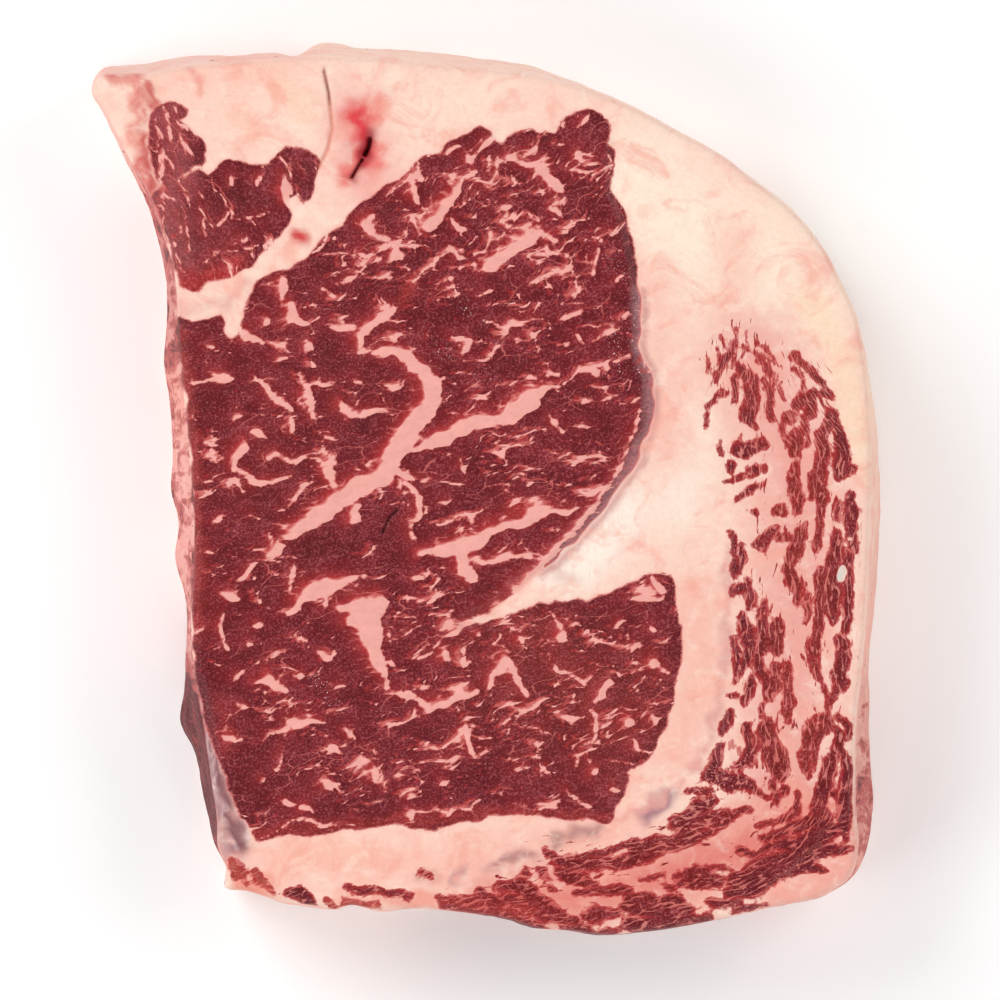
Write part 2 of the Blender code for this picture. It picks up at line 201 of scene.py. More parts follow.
# Flecks of fat in the upper part of the eye muscle
UPPER_FLECKS: tuple[Stroke, ...] = (
    ((-18.5, 54), (-16, 57), .45), ((-14.2, 58), (-13.5, 55), (-12.5, 53), .8),
    ((-10.5, 48.5, 1), (-9.5, 50, 1.2), (-7, 53, .9), (-5, 56.5, .7), (-2, 59, .5)),
    ((-7, 50), (-3.5, 48), .5), ((-7.5, 62.3), (-5, 63.5), .4), ((-3.5, 62), (-2.5, 60.5), .7),
    ((-2.5, 61.5), (.8, 64.5), (1.5, 66), .6), ((2.3, 62), (2, 59), (.5, 57), .6),
    ((.5, 57), (-2, 55.2), .4), ((0, 56), (2.5, 55.7), .5),
    ((4.5, 61.5, .6), (7, 60.6, .7), (9, 60, .7), (10.8, 59, 1.1), (12, 57.5, 1.1),
     (14, 55.2, .8)),
    ((16.8, 63), (18, 60.8), .8), ((18, 60.8), (21, 60.5), .6), ((15.5, 59.3), (19, 58.8), .6),
    ((22.8, 62.5), (23.2, 60), (22.3, 55.5), .35), ((17, 67.5), (19.2, 69), .5),
    ((7, 61.5), (10, 64.5), .4), ((12, 52.5), (14.5, 50.8), .6),
    ((-20.5, 51), (-22.3, 49), (-21, 47.5), (-18, 46.3), .8),
    ((-18.5, 42.5), (-17, 43.5), (-15, 47.5), .7), ((-13.5, 50.5), (-12.5, 48.5), .5),
    ((1, 41.4, 1.3), (3, 43, 1), (5, 44.5, 1), (7, 46, 1.1), (9, 47.2, 1.1), (10.5, 47.6, .7)),
    ((11.3, 47), (13.5, 46), .8), ((11.3, 46), (11.5, 44.2), (15, 43.4), .6),
    ((1.5, 51.3), (5.5, 53), .45), ((20.5, 46.5), (24.5, 48.2), .5),
    ((20.2, 39.5), (20.8, 45), .6), ((-7, 45), (-5, 43.2), (-3.5, 42.8), .5),
    ((-24, 44.5), (-21.5, 43.5), .6), ((-27.5, 38), (-24.5, 39.5), (-22, 41.5), .5),
    ((-37.5, 38.8), (-37.5, 35.7), 1.0), ((-36, 33.5, .9), (-36, 32, 1.3), (-33.5, 30.8, .7)),
    ((-41, 31.4), (-40.5, 30.8), .8), ((-30.5, 37.5), (-28, 36), .45),
    ((-34, 43), (-33.2, 42), .4),
)

# Flecks in the left part of the eye muscle
LEFT_FLECKS: tuple[Stroke, ...] = (
    ((-46.5, 31), (-44, 28.3), (-41.5, 27), .9), ((-39, 24.3), (-37, 24.2), .6),
    ((-34, 25.5), (-32, 27), .7), ((-50, 21.2), (-47, 20.4), .8), ((-55.5, 19.9), (-47, 20), .3),
    ((-43, 21), (-40, 18.5), (-38, 16), (-36, 14.8), .7),
    ((-33.5, 19.5), (-33, 17.5), (-31.5, 14), .9), ((-33, 19.5), (-26, 20.3), .35),
    ((-27, 15.6, .7), (-24.5, 14, .7), (-17, 14.8, .4)), ((-18.5, 18.3), (-15.8, 19), .45),
    ((-36, 13), (-35.5, 10.5), .7), ((-43, 10.5), (-40.3, 9.8), .7),
    ((-44.5, 8.5, .8), (-45.8, 6, .8), (-46.5, 4, .6), (-44, 2.5, .6), (-42.5, 1, .6),
     (-38, 2, .45), (-36, 2.7, .4)),
    ((-40, 6, .6), (-38.5, 6.6, .6), (-36.5, 5.8, .45), (-30.5, 5.8, .35)),
    ((-30, 5), (-27.3, 5.2), .5), ((-29, 4, .9), (-28.3, 1, .7)),
    ((-54, 1.8), (-46, 1.6), (-44.5, -.3), .45), ((-33.5, 1), (-37.5, -4), .4),
    ((-40.5, -12), (-37.5, -10.3), .9), ((-42, -13.5), (-46, -16.5), .5),
    ((-35.5, -14), (-35.5, -17), .5), ((-52, 26.5), (-49.5, 25.8), .5), ((-47, 13), (-44.5, 13.6), .5),
    ((-52.5, 9), (-49.5, 8), .45), ((-30, 10), (-27.5, 9.2), .5), ((-24.5, 20.5), (-22.5, 19.8), .4),
    ((-50.5, -6), (-47.5, -5), .45), ((-44, -4.5), (-42, -5.2), .4), ((-52, -11.5), (-49.5, -12), .4),
)

# Flecks in the middle and the right of the eye muscle
MIDDLE_FLECKS: tuple[Stroke, ...] = (
    ((0, 31.2), (4, 30), (9, 31.5), (10.5, 31.9), .45),
    ((-6, 28.6), (-3, 27.5), (-4, 25.5), (-4.5, 24.5), .55), ((-4, 23.3), (.5, 24.5), .4),
    ((5.5, 27.2), (6.8, 27.8), .4), ((16.5, 29), (18.3, 27.2), .45), ((20, 27.8), (24.5, 30), .6),
    ((17.5, 22), (19.5, 22.3), (21, 21), .6), ((10.5, 22), (13.5, 21.5), .4),
    ((14.5, 32), (21.5, 34), .4), ((-18, 29), (-16.5, 28.3), .5), ((-11, 28.5), (-10.5, 27.5), .4),
    ((-5.2, 6.3), (-3.5, 3), .45), ((6, 3.3), (8, 2.5), .4), ((12, 14), (14.5, 10.8), .5),
    ((16, 12), (21.3, 11), .4), ((18, 5.2), (21.5, 4.3), .4), ((3.5, .2), (5, -1), .4),
    ((3.8, -3.5), (7, -1), .4), ((8, 38), (10.5, 38.8), .5), ((-9, 36.5), (-6, 37.8), .5),
    ((13.5, 38.5), (15.5, 40), .45), ((23.5, 38), (25.5, 39.5), .4), ((-1, 36), (1.5, 36.8), .4),
    ((21.5, 16.5), (24, 17.2), .45), ((13, 5.5), (15.5, 6.8), .4), ((-3, 18.5), (-.5, 19), .4),
    ((2, 7.5), (5.5, 8.6), .4), ((-9, -2.5), (-6.5, -1.8), .4), ((24, 23.5), (26.5, 24.5), .4),
)

# Flecks in the lower left of the eye muscle
LOWER_FLECKS: tuple[Stroke, ...] = (
    ((-27, -21.8, .8), (-23, -21.6, 2.0), (-20, -21.2, 1.9)),
    ((-25, -24.3, .9), (-22, -24, 2.6), (-20.8, -27, 1.9), (-20.6, -29.8, 1.4)),
    ((-20.6, -29.8, 1.3), (-19.6, -31.8, 1.2), (-18.6, -33.5, .8), (-18, -36.8, .4)),
    ((-19, -31.8), (-16.8, -32.6), .5),
    ((-36.5, -23, .5), (-34.5, -20.5, .9), (-32, -18.8, 1.3), (-29.5, -18, 1.3),
     (-27.5, -17.5, 1), (-25, -16.3, .5), (-22, -16, .4)),
    ((-29.8, -20), (-30.5, -23), .4), ((-49, -19), (-45.5, -20.3), .8),
    ((-48.8, -22.5), (-49.2, -25), (-48, -29.5), .55), ((-42.5, -25), (-41, -24.5), .6),
    ((-44.5, -28.7), (-43.5, -28.3), .4), ((-40.8, -31.8), (-37, -29.5), .45),
    ((-36, -15), (-36.3, -19), .5),
    ((-42.5, -35.2, .5), (-40, -35, 1), (-38, -36.3, .9), (-36.8, -37.3, .5)),
    ((-34, -34.8), (-34, -34.2), .7), ((-18, -26), (-17.8, -28), .4), ((-17.8, -28), (-11.5, -24.6), .35),
    ((-19, -37.5), (-14, -37.5), .5),
    ((-37, -42, .4), (-34.5, -43.5, 1.2), (-32.5, -42.8, .8), (-30, -42.5, .4)),
    ((-42.5, -46.5), (-38, -44.5), .4), ((-48.5, -46), (-45, -46.3), .8),
    ((-37, -47.5), (-39, -52), .4), ((-41.5, -54), (-40.5, -53.2), .5),
    ((-30.3, -54), (-28.7, -55.2), .8), ((-29, -47), (-27, -48.3), .5),
    ((-26, -44.5), (-24, -46.2), .6), ((-22.5, -48), (-19.5, -48.3), .4),
    ((-20.5, -51.2), (-20.5, -53.3), .9), ((-18.8, -55.7), (-17.5, -55.3), .5),
    ((-19, -54), (-11, -51.5), .35), ((-37.5, -58.3), (-35.5, -57.8), .5),
    ((-34.5, -58.5), (-32, -59.7), .8), ((-42, -64.5), (-35, -60.8), (-31, -61.8), (-24, -62), .35),
    ((-14.5, -57), (-13.5, -56.3), .5), ((-13.8, -60.5), (-13.2, -60.5), .8),
    ((-15.5, -59.5), (-9, -59), (-6.5, -59.7), .4), ((-47, -35), (-45, -34), .45),
    ((-31, -30), (-29, -31), .5), ((-28, -37), (-26, -36), .5), ((-46, -40), (-44, -40.8), .4),
    ((-13, -21), (-10.5, -20), .45), ((-13.8, -15.9), (-11.8, -16.4), .5),
)

# Flecks in the muscle under the eye
UNDER_FLECKS: tuple[Stroke, ...] = (
    ((14.2, -27), (14.8, -27), 1.2), ((14.5, -26.5), (12.5, -23), .5), ((6, -27), (7, -28.5), .7),
    ((-1.3, -26.6), (-.7, -26.4), .6), ((31, -16.5), (33, -19), .9), ((26, -20.5), (33, -19.8), .6),
    ((31, -32.2), (31.6, -32.4), 1.0), ((32, -33), (34, -34), .5),
    ((3.5, -31.5, 1), (2, -34, .7), (.5, -36.5, .5)), ((3.5, -31.5, 1), (6, -35, .7), (8, -38, .6)),
    ((12.5, -31.5), (13, -33), (17, -34.5), (18.5, -35.5), (21, -33), .5),
    ((23, -35.5), (20, -39.5), .6), ((19, -40.5), (20.5, -42), (20.3, -46), (17.5, -47.5), .5),
    ((17, -49), (16.5, -51.5), .4), ((19, -48.5), (19.3, -50.5), .4), ((20.1, -52.3), (20.5, -52.3), .8),
    ((26.3, -43), (26.8, -43), .9), ((31, -41.5), (31.3, -43.5), .6), ((27.5, -46.5), (28.5, -48.5), .6),
    ((23, -55.5), (25, -55.5), .5), ((15, -56, .45), (19, -58.5, .6)), ((-7.6, -31), (-7, -31), 1.0),
    ((-15, -37.8, .45), (-10, -40, 1), (-6, -39, .7), (-2, -37.5, .5)),
    ((-3.5, -43.5), (-3.5, -46), (-2, -49), .8), ((-2, -49), (1.5, -47.7), .35),
    ((-3, -49.5), (-12, -50.5), .5), ((-8.3, -54.3), (-6.8, -53.8), .5), ((5, -58), (11, -58), .3),
    ((24, -25), (26, -24), .5), ((9, -44), (12, -45), .5), ((5, -52), (8, -51), .45),
    ((26.5, -30), (28, -28.5), .5), ((10.5, -50.5), (12.5, -53), .45), ((30, -25), (31.5, -26.5), .5),
)

# Bundles of lean in the cap muscle, down its right-hand run
CAP_BUNDLES: tuple[Stroke, ...] = (
    ((46.5, 30, .05), (45.5, 26, .3), (44.4, 24.3, .7), (43.5, 22.5, .4), (42.5, 20, .1)),
    ((43.5, 28.8), (44.3, 26.5), .05), ((41, 24.5), (41.3, 22), .1),
    ((48.2, 29.6), (48.4, 26.8), (47.2, 24.6), .05), ((45.2, 27.6), (46, 25), (45.4, 22.6), .05),
    ((42.6, 26.4), (43.2, 24.2), (42, 21.6), .03), ((50, 27.4), (52.2, 25.9), (53.6, 24.4), .05),
    ((52.6, 22), (53.8, 20.4), (53.2, 18.2), .06), ((56.8, 22.8), (58.4, 20.6), (58.6, 18.4), .08),
    ((59.4, 24), (61.2, 22.2), .05), ((54.8, 19.4), (55.2, 17), .05),
    ((47.5, 27), (50.5, 25), (54.3, 23), .12),
    ((47, 23, .7), (49.2, 20, 1), (49, 18, 1.1), (48.7, 15.5, 1.3), (48.5, 13.8, 1.4),
     (50, 11.5, .4)),
    ((46.5, 21), (45.5, 17), .6), ((50.5, 24), (52.5, 21.5), .5),
    ((51.5, 20.5, .4), (52.5, 17.5, .7), (53, 13, .35)),
    ((44, 18.5), (41, 15.5), (40.5, 12), .35), ((43, 9), (44, 6.5), .5),
    ((47.5, 7.5, 1.5), (51.5, 8.6, .8)), ((45.3, 4.5), (45.7, 4.5), .7), ((49, 3.8), (50, 3.8), .8),
    ((51.6, 4), (52, 4), .4), ((44.5, 2), (48.5, 2.5), .35), ((46.5, -1.5), (48.5, -.3), (51, 1.3), .5),
    ((49.5, -4), (49.9, -4), .6),
    ((56.5, 24.8, .3), (59.5, 22.3, .4), (62.3, 20, .6), (63.5, 17.5, .5)),
    ((57.5, 16, 1.2), (60.5, 18, .8), (59.8, 14, .6)), ((62.3, 18), (62.7, 18), .8),
    ((55.5, 14), (56.3, 12.8), 1.0), ((58.5, 13.5), (59.5, 9.5), .6), ((54.5, 12), (56, 8), .4),
    ((57.2, 10, 1.1), (57.3, 7, .9)), ((59.2, 9.2), (59.2, 8.8), .4),
    ((63.5, 14.5, .6), (63, 12, 1), (62, 9.5, 1.2), (62.5, 7, 1.2), (62, 4, .9), (61.5, 1.5, .9),
     (62, -1, 1), (62.5, -3, .7), (61.5, -5.5, .6), (61.8, -8, .6), (61, -11, .35)),
    ((64.5, 14.5, .5), (65.5, 10, 1), (66, 6.5, 1.4), (65.5, 3, 1.2), (67.8, 4, .8)),
    ((60.3, 3), (60.3, -1.5), .7),
    ((57.5, 5, .5), (56.5, 1, 1), (57.5, -1.5, 1.3), (57.5, -3.5, .8)),
    ((54.1, -3.7), (54.5, -3.7), 1.0), ((65, -2), (65.3, -5.5), .45),
    ((67.3, -1.5, 1.1), (67.5, -4, 1.3), (67.3, -8, 1), (68.4, -11, .5)),
    ((58.8, -6.5, .5), (58, -8, 1.2), (57.3, -11.5, 1.2), (56, -14, .9), (56.8, -17, 1.2),
     (57.7, -19.5, .6), (57.3, -21.5, .3)),
    ((53, -7.5, .8), (51, -9.8, 1.2), (49.5, -10.3, .4)), ((54, -8.5), (56, -8.8), .8),
    ((64.5, -8, .6), (65, -11, 1.3), (64, -13.5, 1.3), (64.3, -19, 1.3), (64, -22, 1.2),
     (64.3, -24.5, .5)),
    ((62, -15, 1), (61.5, -18, 1), (62, -21, 1), (61.5, -25, 1), (61, -28, 1), (60.5, -31, 1),
     (61, -34, .8), (62, -35, .4)),
    ((67, -12, .7), (67, -19, .9), (66.8, -26, .4)), ((45.5, -8), (45.8, -12), .6),
    ((47.3, -10), (47, -15), .7), ((45.8, -13), (46.3, -16), .7), ((46, -18.5, .9), (48, -18, .7)),
    ((48.5, -16.5), (48.8, -22), .7), ((47.3, -23), (48.5, -27), (49, -29.5), (47, -33.5), 1.0),
    ((45.8, -27), (46.5, -30), (46, -35), .6),
    ((51.3, -20.5, .35), (51, -23, 1), (51, -26, .9), (51.5, -29, 1), (50.5, -31, .6),
     (51, -34, .7), (52.3, -36.5, .9)),
    ((53.8, -24.5, 1), (53.5, -27, 1.6), (54, -29.5, .9)),
    ((54, -33, 1.1), (53.3, -35.5, 1.2), (52.5, -38, .8)),
    ((56.2, -32, .35), (56, -35, .9), (56, -38, 1.1), (55.5, -41, .9), (56, -42.5, .35)),
    ((59.5, -19.5, .35), (59, -22.5, .6), (58.6, -24.5, .3)),
    ((66, -28, 1.2), (66.2, -31, 1.1), (65.5, -34, 1.3), (66.5, -35.5, .7), (65, -37, .8),
     (63, -40, .35)),
    ((62.5, -36), (63, -38), .5), ((49, -34.5), (48.7, -37), (48, -39), .9),
    ((45.6, -38), (46, -38), .6), ((51, -39.5), (50.5, -41.5), .6), ((45, -41), (43.5, -45), .8),
    ((48, -44, 1), (49, -47, 1.2), (48.5, -50, 1.2), (47, -51, .8)),
    ((52, -44, 1.6), (52.5, -47, 1.8), (53.5, -50, 1.7), (54.5, -52.5, 1.2)),
    ((55, -48), (56, -51.5), .6), ((43.5, -47.5, .8), (42.5, -50, .9), (41, -52.5, .8)),
    ((53, -54), (54, -58), .6), ((55.2, -55.5), (55.6, -55.5), .9),
    ((61, -42), (63, -41.5), (63.7, -43), (62.5, -45), .8),
    ((60, -43.5, .8), (59.3, -46, .9), (59, -49, .8), (59.5, -53, .35)),
    ((62, -44, 1), (61, -46.5, .8), (60.5, -50, .5)), ((65.5, -41.5), (66.8, -43), (67, -46), .7),
    ((64.5, -44), (66, -49), .9),
    ((64.3, -48, .6), (63.5, -51, 1.1), (63, -54, 1.4), (62, -57, 1.4), (61.5, -59, 1.3),
     (63, -60.5, 1.2)),
    ((66.5, -49, .7), (66.8, -52, .9), (66.5, -55, 1.1), (66.3, -58, 1.2), (66, -61, 1),
     (66.8, -64, .6)),
    ((64.4, -56.3), (64.4, -56.7), .6),
)

# Bundles of lean where the cap muscle sweeps along the bottom
SWEEP_BUNDLES: tuple[Stroke, ...] = (
    ((40.5, -53.5, .5), (43, -53, 1.2), (45, -54, 1.5), (47, -54, 1.3), (49, -54.5, .9),
     (50.5, -56, .4), (52, -57, .35)),
    ((62, -61, 1.4), (59, -61.8, 1.3), (56, -62.8, 1), (53, -64, .6), (51, -64.8, .4)),
    ((64, -63, 1.4), (61, -64.5, 1.6), (58, -65.5, 1.4), (54, -65.5, .7), (50, -67, .5),
     (47.5, -67, .8)),
    ((67.5, -66.3, .4), (64, -66.3, .9), (61, -67, 1.5), (58, -68, 1.8), (54, -68.5, 1.2),
     (50, -69, .8), (48, -69.8, .4)),
    ((57.8, -56.5, .35), (57.5, -59, .9), (56, -60.3, .5), (53, -61, .35), (50.3, -62, .4)),
    ((48.5, -58.7, .4), (46, -60, .8), (43, -61.5, 1.2), (40, -63, 1.3), (37, -64.5, 1.5),
     (33, -65.5, 1.7), (30, -66.5, 1.7), (28, -67.5, 1.5)),
    ((44.5, -59.2, .35), (41, -60.5, .7), (36, -62.5, .8)),
    ((41.5, -57.5, 1), (39, -59, 1.3), (37, -60.5, 1.1), (35, -61.8, .9)),
    ((42, -55.5), (39.5, -56), (37, -55.7), .5),
    ((28, -65.2, .9), (24, -66.5, .5), (20, -67, .6), (14.5, -68, .35)),
    ((27, -68.5, .8), (24, -69, 1), (20, -69, 1.1), (16, -69.3, 1.2), (13.5, -68.8, .8),
     (11, -67, .4)),
    ((20.5, -72.5, .5), (18, -72, 1), (15.5, -71.5, 1.1), (13, -70.5, .6)),
    ((11, -71.5), (10, -70.5), .9), ((7.1, -70.8), (7.5, -70.8), .6),
    ((2, -73, .35), (4.5, -73.3, .9), (6.5, -73, 1.4), (8, -74.3, 1.3)),
    ((11.8, -73.7), (12.2, -73.7), .5),
    ((-1, -74.3, .8), (1, -75.5, 1), (4, -76, 1.2), (7, -76.5, 1.6), (10, -77, 2),
     (12, -78, 1.5), (14, -78.7, .9)),
    ((-8.5, -75.5, .6), (-5, -76, 1), (-1, -76.5, 1), (3, -77.5, .9), (7, -79, .8)),
    ((10, -79), (16.5, -79.5), .8), ((17, -74.5, .7), (24, -74, .7), (27, -74.2, .35)),
    ((26, -75.5, .6), (30, -76, 1.4), (35, -77, 1.8), (37, -77.5, 1.2)),
    ((25.5, -77, 1), (29, -77.5, 1.5), (33, -78, 1.6), (37, -78.3, .6)),
    ((18, -78.5, .5), (21, -78.3, 1.2), (24, -78.2, .8)), ((16, -80.5), (19.5, -80.8), .4),
    ((20, -81.3), (23, -81.5), .5), ((25, -80.8), (28, -80.5), .5), ((29, -80.5), (39, -79.3), .4),
    ((-8, -76.6, .7), (-3, -77.3, .9), (2, -78, .8)), ((2, -78.8, .8), (6, -80, 1.2), (10, -81, .9)),
    ((14, -80.9), (19, -81.8), (24, -82), .7), ((26, -80.4, 1), (30, -80.8, 1.3), (36, -79.9, 1.2),
     (41, -79, .8)), ((46, -77.6), (52, -76.6), .6),
    ((-45.5, -69), (-44.2, -72.5), .35), ((-43.5, -70.5), (-41, -73), .4),
    ((28.5, -72), (33, -71.5), .4), ((33, -72.8), (35, -74), .5),
    ((36, -73, .6), (38, -72, 1.3), (41, -72, 1.8), (43, -72.5, 1)),
    ((35, -71.5), (42, -69.5), .6), ((42, -69.5), (45, -70), .4),
    ((46, -72, 1.6), (49, -72, 1.9), (52, -70.8, 1.4), (56, -69.8, 1.1), (60, -69.5, .8),
     (62.5, -70, .5)),
    ((45, -74.5, .9), (48, -74.3, 1), (52, -73, .8), (58, -70.3, .35)), ((41, -76.5), (47, -76.5), .7),
    ((-26, -73.5), (-14, -75), .6), ((-12.5, -71), (-10.5, -71.5), .4),
    ((-36.5, -74.5, .7), (-34.5, -74.5, 1.3), (-33, -76, 1), (-31.5, -76.8, .35)),
    ((-43, -71.5), (-39.5, -74), .45), ((-46.8, -68.5), (-46.5, -71.5), .9),
    ((-29.5, -75.8), (-27.5, -76.8), .5), ((-26, -76), (-20, -77), .6),
)


@dataclass(frozen=True)
class Wash:
    """A soft patch of tone laid along a route.

    Attributes:
        tone: Colour on a screen, from 0 to 255.
        reach: Distance from the route at which the tone has faded.
        strength: Share of the tone on the route.
        route: Points that the patch follows.
    """

    tone: Tone
    reach: float
    strength: float
    route: Route


FAT_TONE: Tone = (252, 212, 195)
FAT_WASHES = (
    Wash((253, 234, 214), 17, .95, ((27, 58), (38, 48), (50, 38))),
    Wash((253, 229, 208), 13, .8, ((50, 48), (61, 35))),
    Wash((253, 232, 216), 10, .85, ((37, 10), (36, -3))),
    Wash((254, 240, 226), 9, 1.0, ((25, -4), (20, -11), (15, -15))),
    Wash((253, 226, 208), 11, .6, ((-36, 70), (-20, 74))),
    Wash((253, 226, 206), 9, .6, ((-12, 70), (0, 73))),
    Wash((252, 200, 182), 8, .7, ((-62, 76), (-48, 77), (-36, 79))),
    Wash((250, 196, 180), 9, .75, ((30, 36), (33, 20), (34, 8))),
    Wash((248, 188, 171), 9, .85, ((38, -20), (40, -36), (35, -48))),
    Wash((249, 196, 178), 8, .7, ((46, 46), (45, 32))),
    Wash((238, 168, 157), 15, 1.0, ((50, 24), (58, 5), (57, -30), (54, -55))),
    Wash((228, 130, 120), 12, 1.0, ((62, -60), (48, -66), (35, -71), (20, -74), (2, -76))),
    Wash((250, 190, 174), 8, .8, ((-40, -69), (-10, -70), (10, -65), (28, -60))),
    Wash((158, 112, 126), 2.8, .9, ((29.5, -60.0), (33.5, -56.6))),
    Wash((182, 128, 124), 2.6, .85, ((12.5, -65.5), (16, -63.6), (21, -62.9))),
    Wash((176, 118, 118), 2.2, .8, ((1, -69.4), (4, -68.5), (6, -67.4), (9, -67.6))),
    Wash((180, 136, 142), 2.0, .8, ((-5.5, -71.8), (-4.6, -70.4))),
    Wash((198, 142, 132), 1.8, .6, ((-12, -71.2), (-9.4, -71.6))),
    Wash((238, 146, 140), 9.5, .65, ((-25, 70), (-22, 58))),
    Wash((224, 62, 70), 4.5, 1.0, ((-23.6, 69.8), (-22.6, 65), (-22.4, 61.5))),
    Wash((232, 96, 92), 2.6, .8, ((-24.5, 61), (-26.4, 57.2))),
    Wash((232, 100, 96), 2.3, .75, ((-20.2, 69.0), (-19.2, 71.8))),
    Wash((232, 104, 98), 2.4, .7, ((-20.6, 63.5), (-19.6, 60))),
    Wash((158, 42, 48), 1.9, .85, ((-21.8, 64.6), (-22.6, 61.8), (-24.4, 58.4))),
    Wash((214, 60, 62), 2.4, .85, ((-34.4, 47), (-34.2, 47))),
    Wash((222, 160, 154), 1.7, .8,
         ((44.5, -12), (44.8, -25), (44.2, -33), (43, -39), (42, -43), (40.5, -47), (38.5, -52))),
    Wash((235, 165, 155), 1.3, .7, ((36, -54), (29, -59), (22, -62))),
    Wash((251, 220, 186), 5.5, .6, ((60, 35), (65, 27), (68, 15), (70, 5))),
    Wash((222, 112, 106), 2.4, .75, ((-69.5, 76.8), (-64.5, 77.2))),
    Wash((224, 106, 98), 1.3, .7, ((-65, 73), (-65.5, 64))),
    Wash((205, 90, 86), 1.3, .7, ((-63.5, 74.5), (-61.8, 71))),
    Wash((232, 128, 118), 1.4, .6, ((-54.5, 77.5), (-52.5, 74.3))),
    Wash((214, 92, 88), 3.0, .75, ((-64, 61), (-60.5, 51))),
    Wash((248, 186, 160), 4.0, .45, ((-45.5, 70), (-42.8, 66))),
    Wash((248, 186, 160), 4.0, .4, ((-36, -67), (-22, -67.5))),
    Wash((196, 148, 150), 5.5, 1.0, ((-53.6, -38), (-51.8, -48), (-49.8, -58), (-47.2, -66.5))),
    Wash((132, 78, 84), 3.6, .95, ((-51.6, -45), (-50.2, -52), (-48.2, -59), (-45.8, -65))),
    Wash((226, 190, 190), 0.9, .85, ((-50.6, -44), (-48.2, -52), (-45.6, -59), (-43.6, -64.5))),
    Wash((214, 178, 180), 0.8, .7, ((-53, -38), (-51.8, -46), (-50.4, -54), (-48.6, -62), (-46.5, -66))),
    Wash((236, 132, 112), 3.2, .8, ((-47, -69), (-45, -72.5), (-41, -73.5))),
    Wash((232, 120, 104), 2.6, .6, ((-24, -76), (-16, -75.8), (-9, -75.6), (-2, -77))),
    Wash((246, 192, 158), 5.0, .45, ((-38, 74), (-33, 70.5))),
    Wash((226, 128, 118), 0.9, .7,
         ((-71, 76.8), (-68, 77.6), (-64.6, 77.0), (-63.9, 76.0), (-67, 75.5), (-70.6, 76.0))),
    Wash((214, 96, 92), 0.9, .7, ((-63, 66), (-64.6, 60), (-62.6, 54))),
    Wash((206, 84, 80), 0.9, .8, ((-64.2, 74.8), (-63.6, 70), (-64.3, 64))),
    Wash((196, 62, 60), 0.9, .85, ((-62.3, 75.2), (-61.2, 72.2), (-62.2, 68))),
    Wash((190, 60, 60), 1.1, .85, ((-63.4, 66), (-62.6, 60), (-61.2, 55), (-60.6, 49))),
    Wash((215, 160, 150), 2.2, .5, ((12, -14.2), (16, -16.8))),
    Wash((240, 158, 146), 6, .8, ((67.5, -64), (65, -71), (54, -75.5))),
    Wash((214, 214, 205), 1.8, 1.0, ((66.1, -14.8), (66.1, -16.2))),
    Wash((222, 158, 150), 2.0, .6, ((-58, 33.6), (-48, 34.6), (-44, 38.5))),
)

# Marks that lie exactly in the creases: painted shade that darkens the crack in the fat, the slit in the
# eye muscle and the vessels' holes, over the vessels' own dark red, and a red spot
CREASE_SHADE_AND_MARKS = (
    Wash((138, 62, 50), 0.5, .9, ((-30.1, 78.3), (-29.1, 73.5), (-28.9, 71.5))),
    Wash((210, 134, 112), 0.55, .75,
         ((-28.9, 72.0), (-28.4, 67.0), (-29.3, 63.0), (-30.9, 59.8))),
    Wash((206, 52, 56), 1.9, .9, ((-34.6, 47.2), (-34.0, 46.6))),
    Wash((150, 34, 44), 2.2, .8, ((-21.4, 66.0), (-22.4, 62.6))),
    Wash((120, 26, 34), 0.6, .8, ((-21.5, 65), (-21.7, 63.6), (-22.4, 62.2))),
    Wash((120, 26, 34), 0.45, .8, ((-22.9, 61.2), (-23.6, 60.2), (-24.8, 58))),
    Wash((84, 12, 18), 0.42, .8, ((-16.4, -3.6), (-17.9, -5.0), (-19.2, -7.8))),
)

# Marks with a smooth outline, on the lean and on the fat: the eye muscle's side below the cut, painted as
# light and shade in a mauve band that is paler than the lean and darker than the fat
LEAN_SIDE_SHADING = (Wash((200, 134, 138), 2.3, 1.0, EYE_SIDE),)
FAT_SIDE_SHADING = (
    Wash((196, 138, 134), 1.2, .8,
         ((29.2, 37), (29.5, 33), (29.2, 28), (29.6, 25.5), (30.9, 22.5), (31.8, 18.5),
          (31.3, 12.6), (29.9, 8), (27.9, 3.4), (25.3, -.2), (21.8, -5.2), (17.7, -9.3),
          (14, -12.9), (10.4, -15.8))),
)

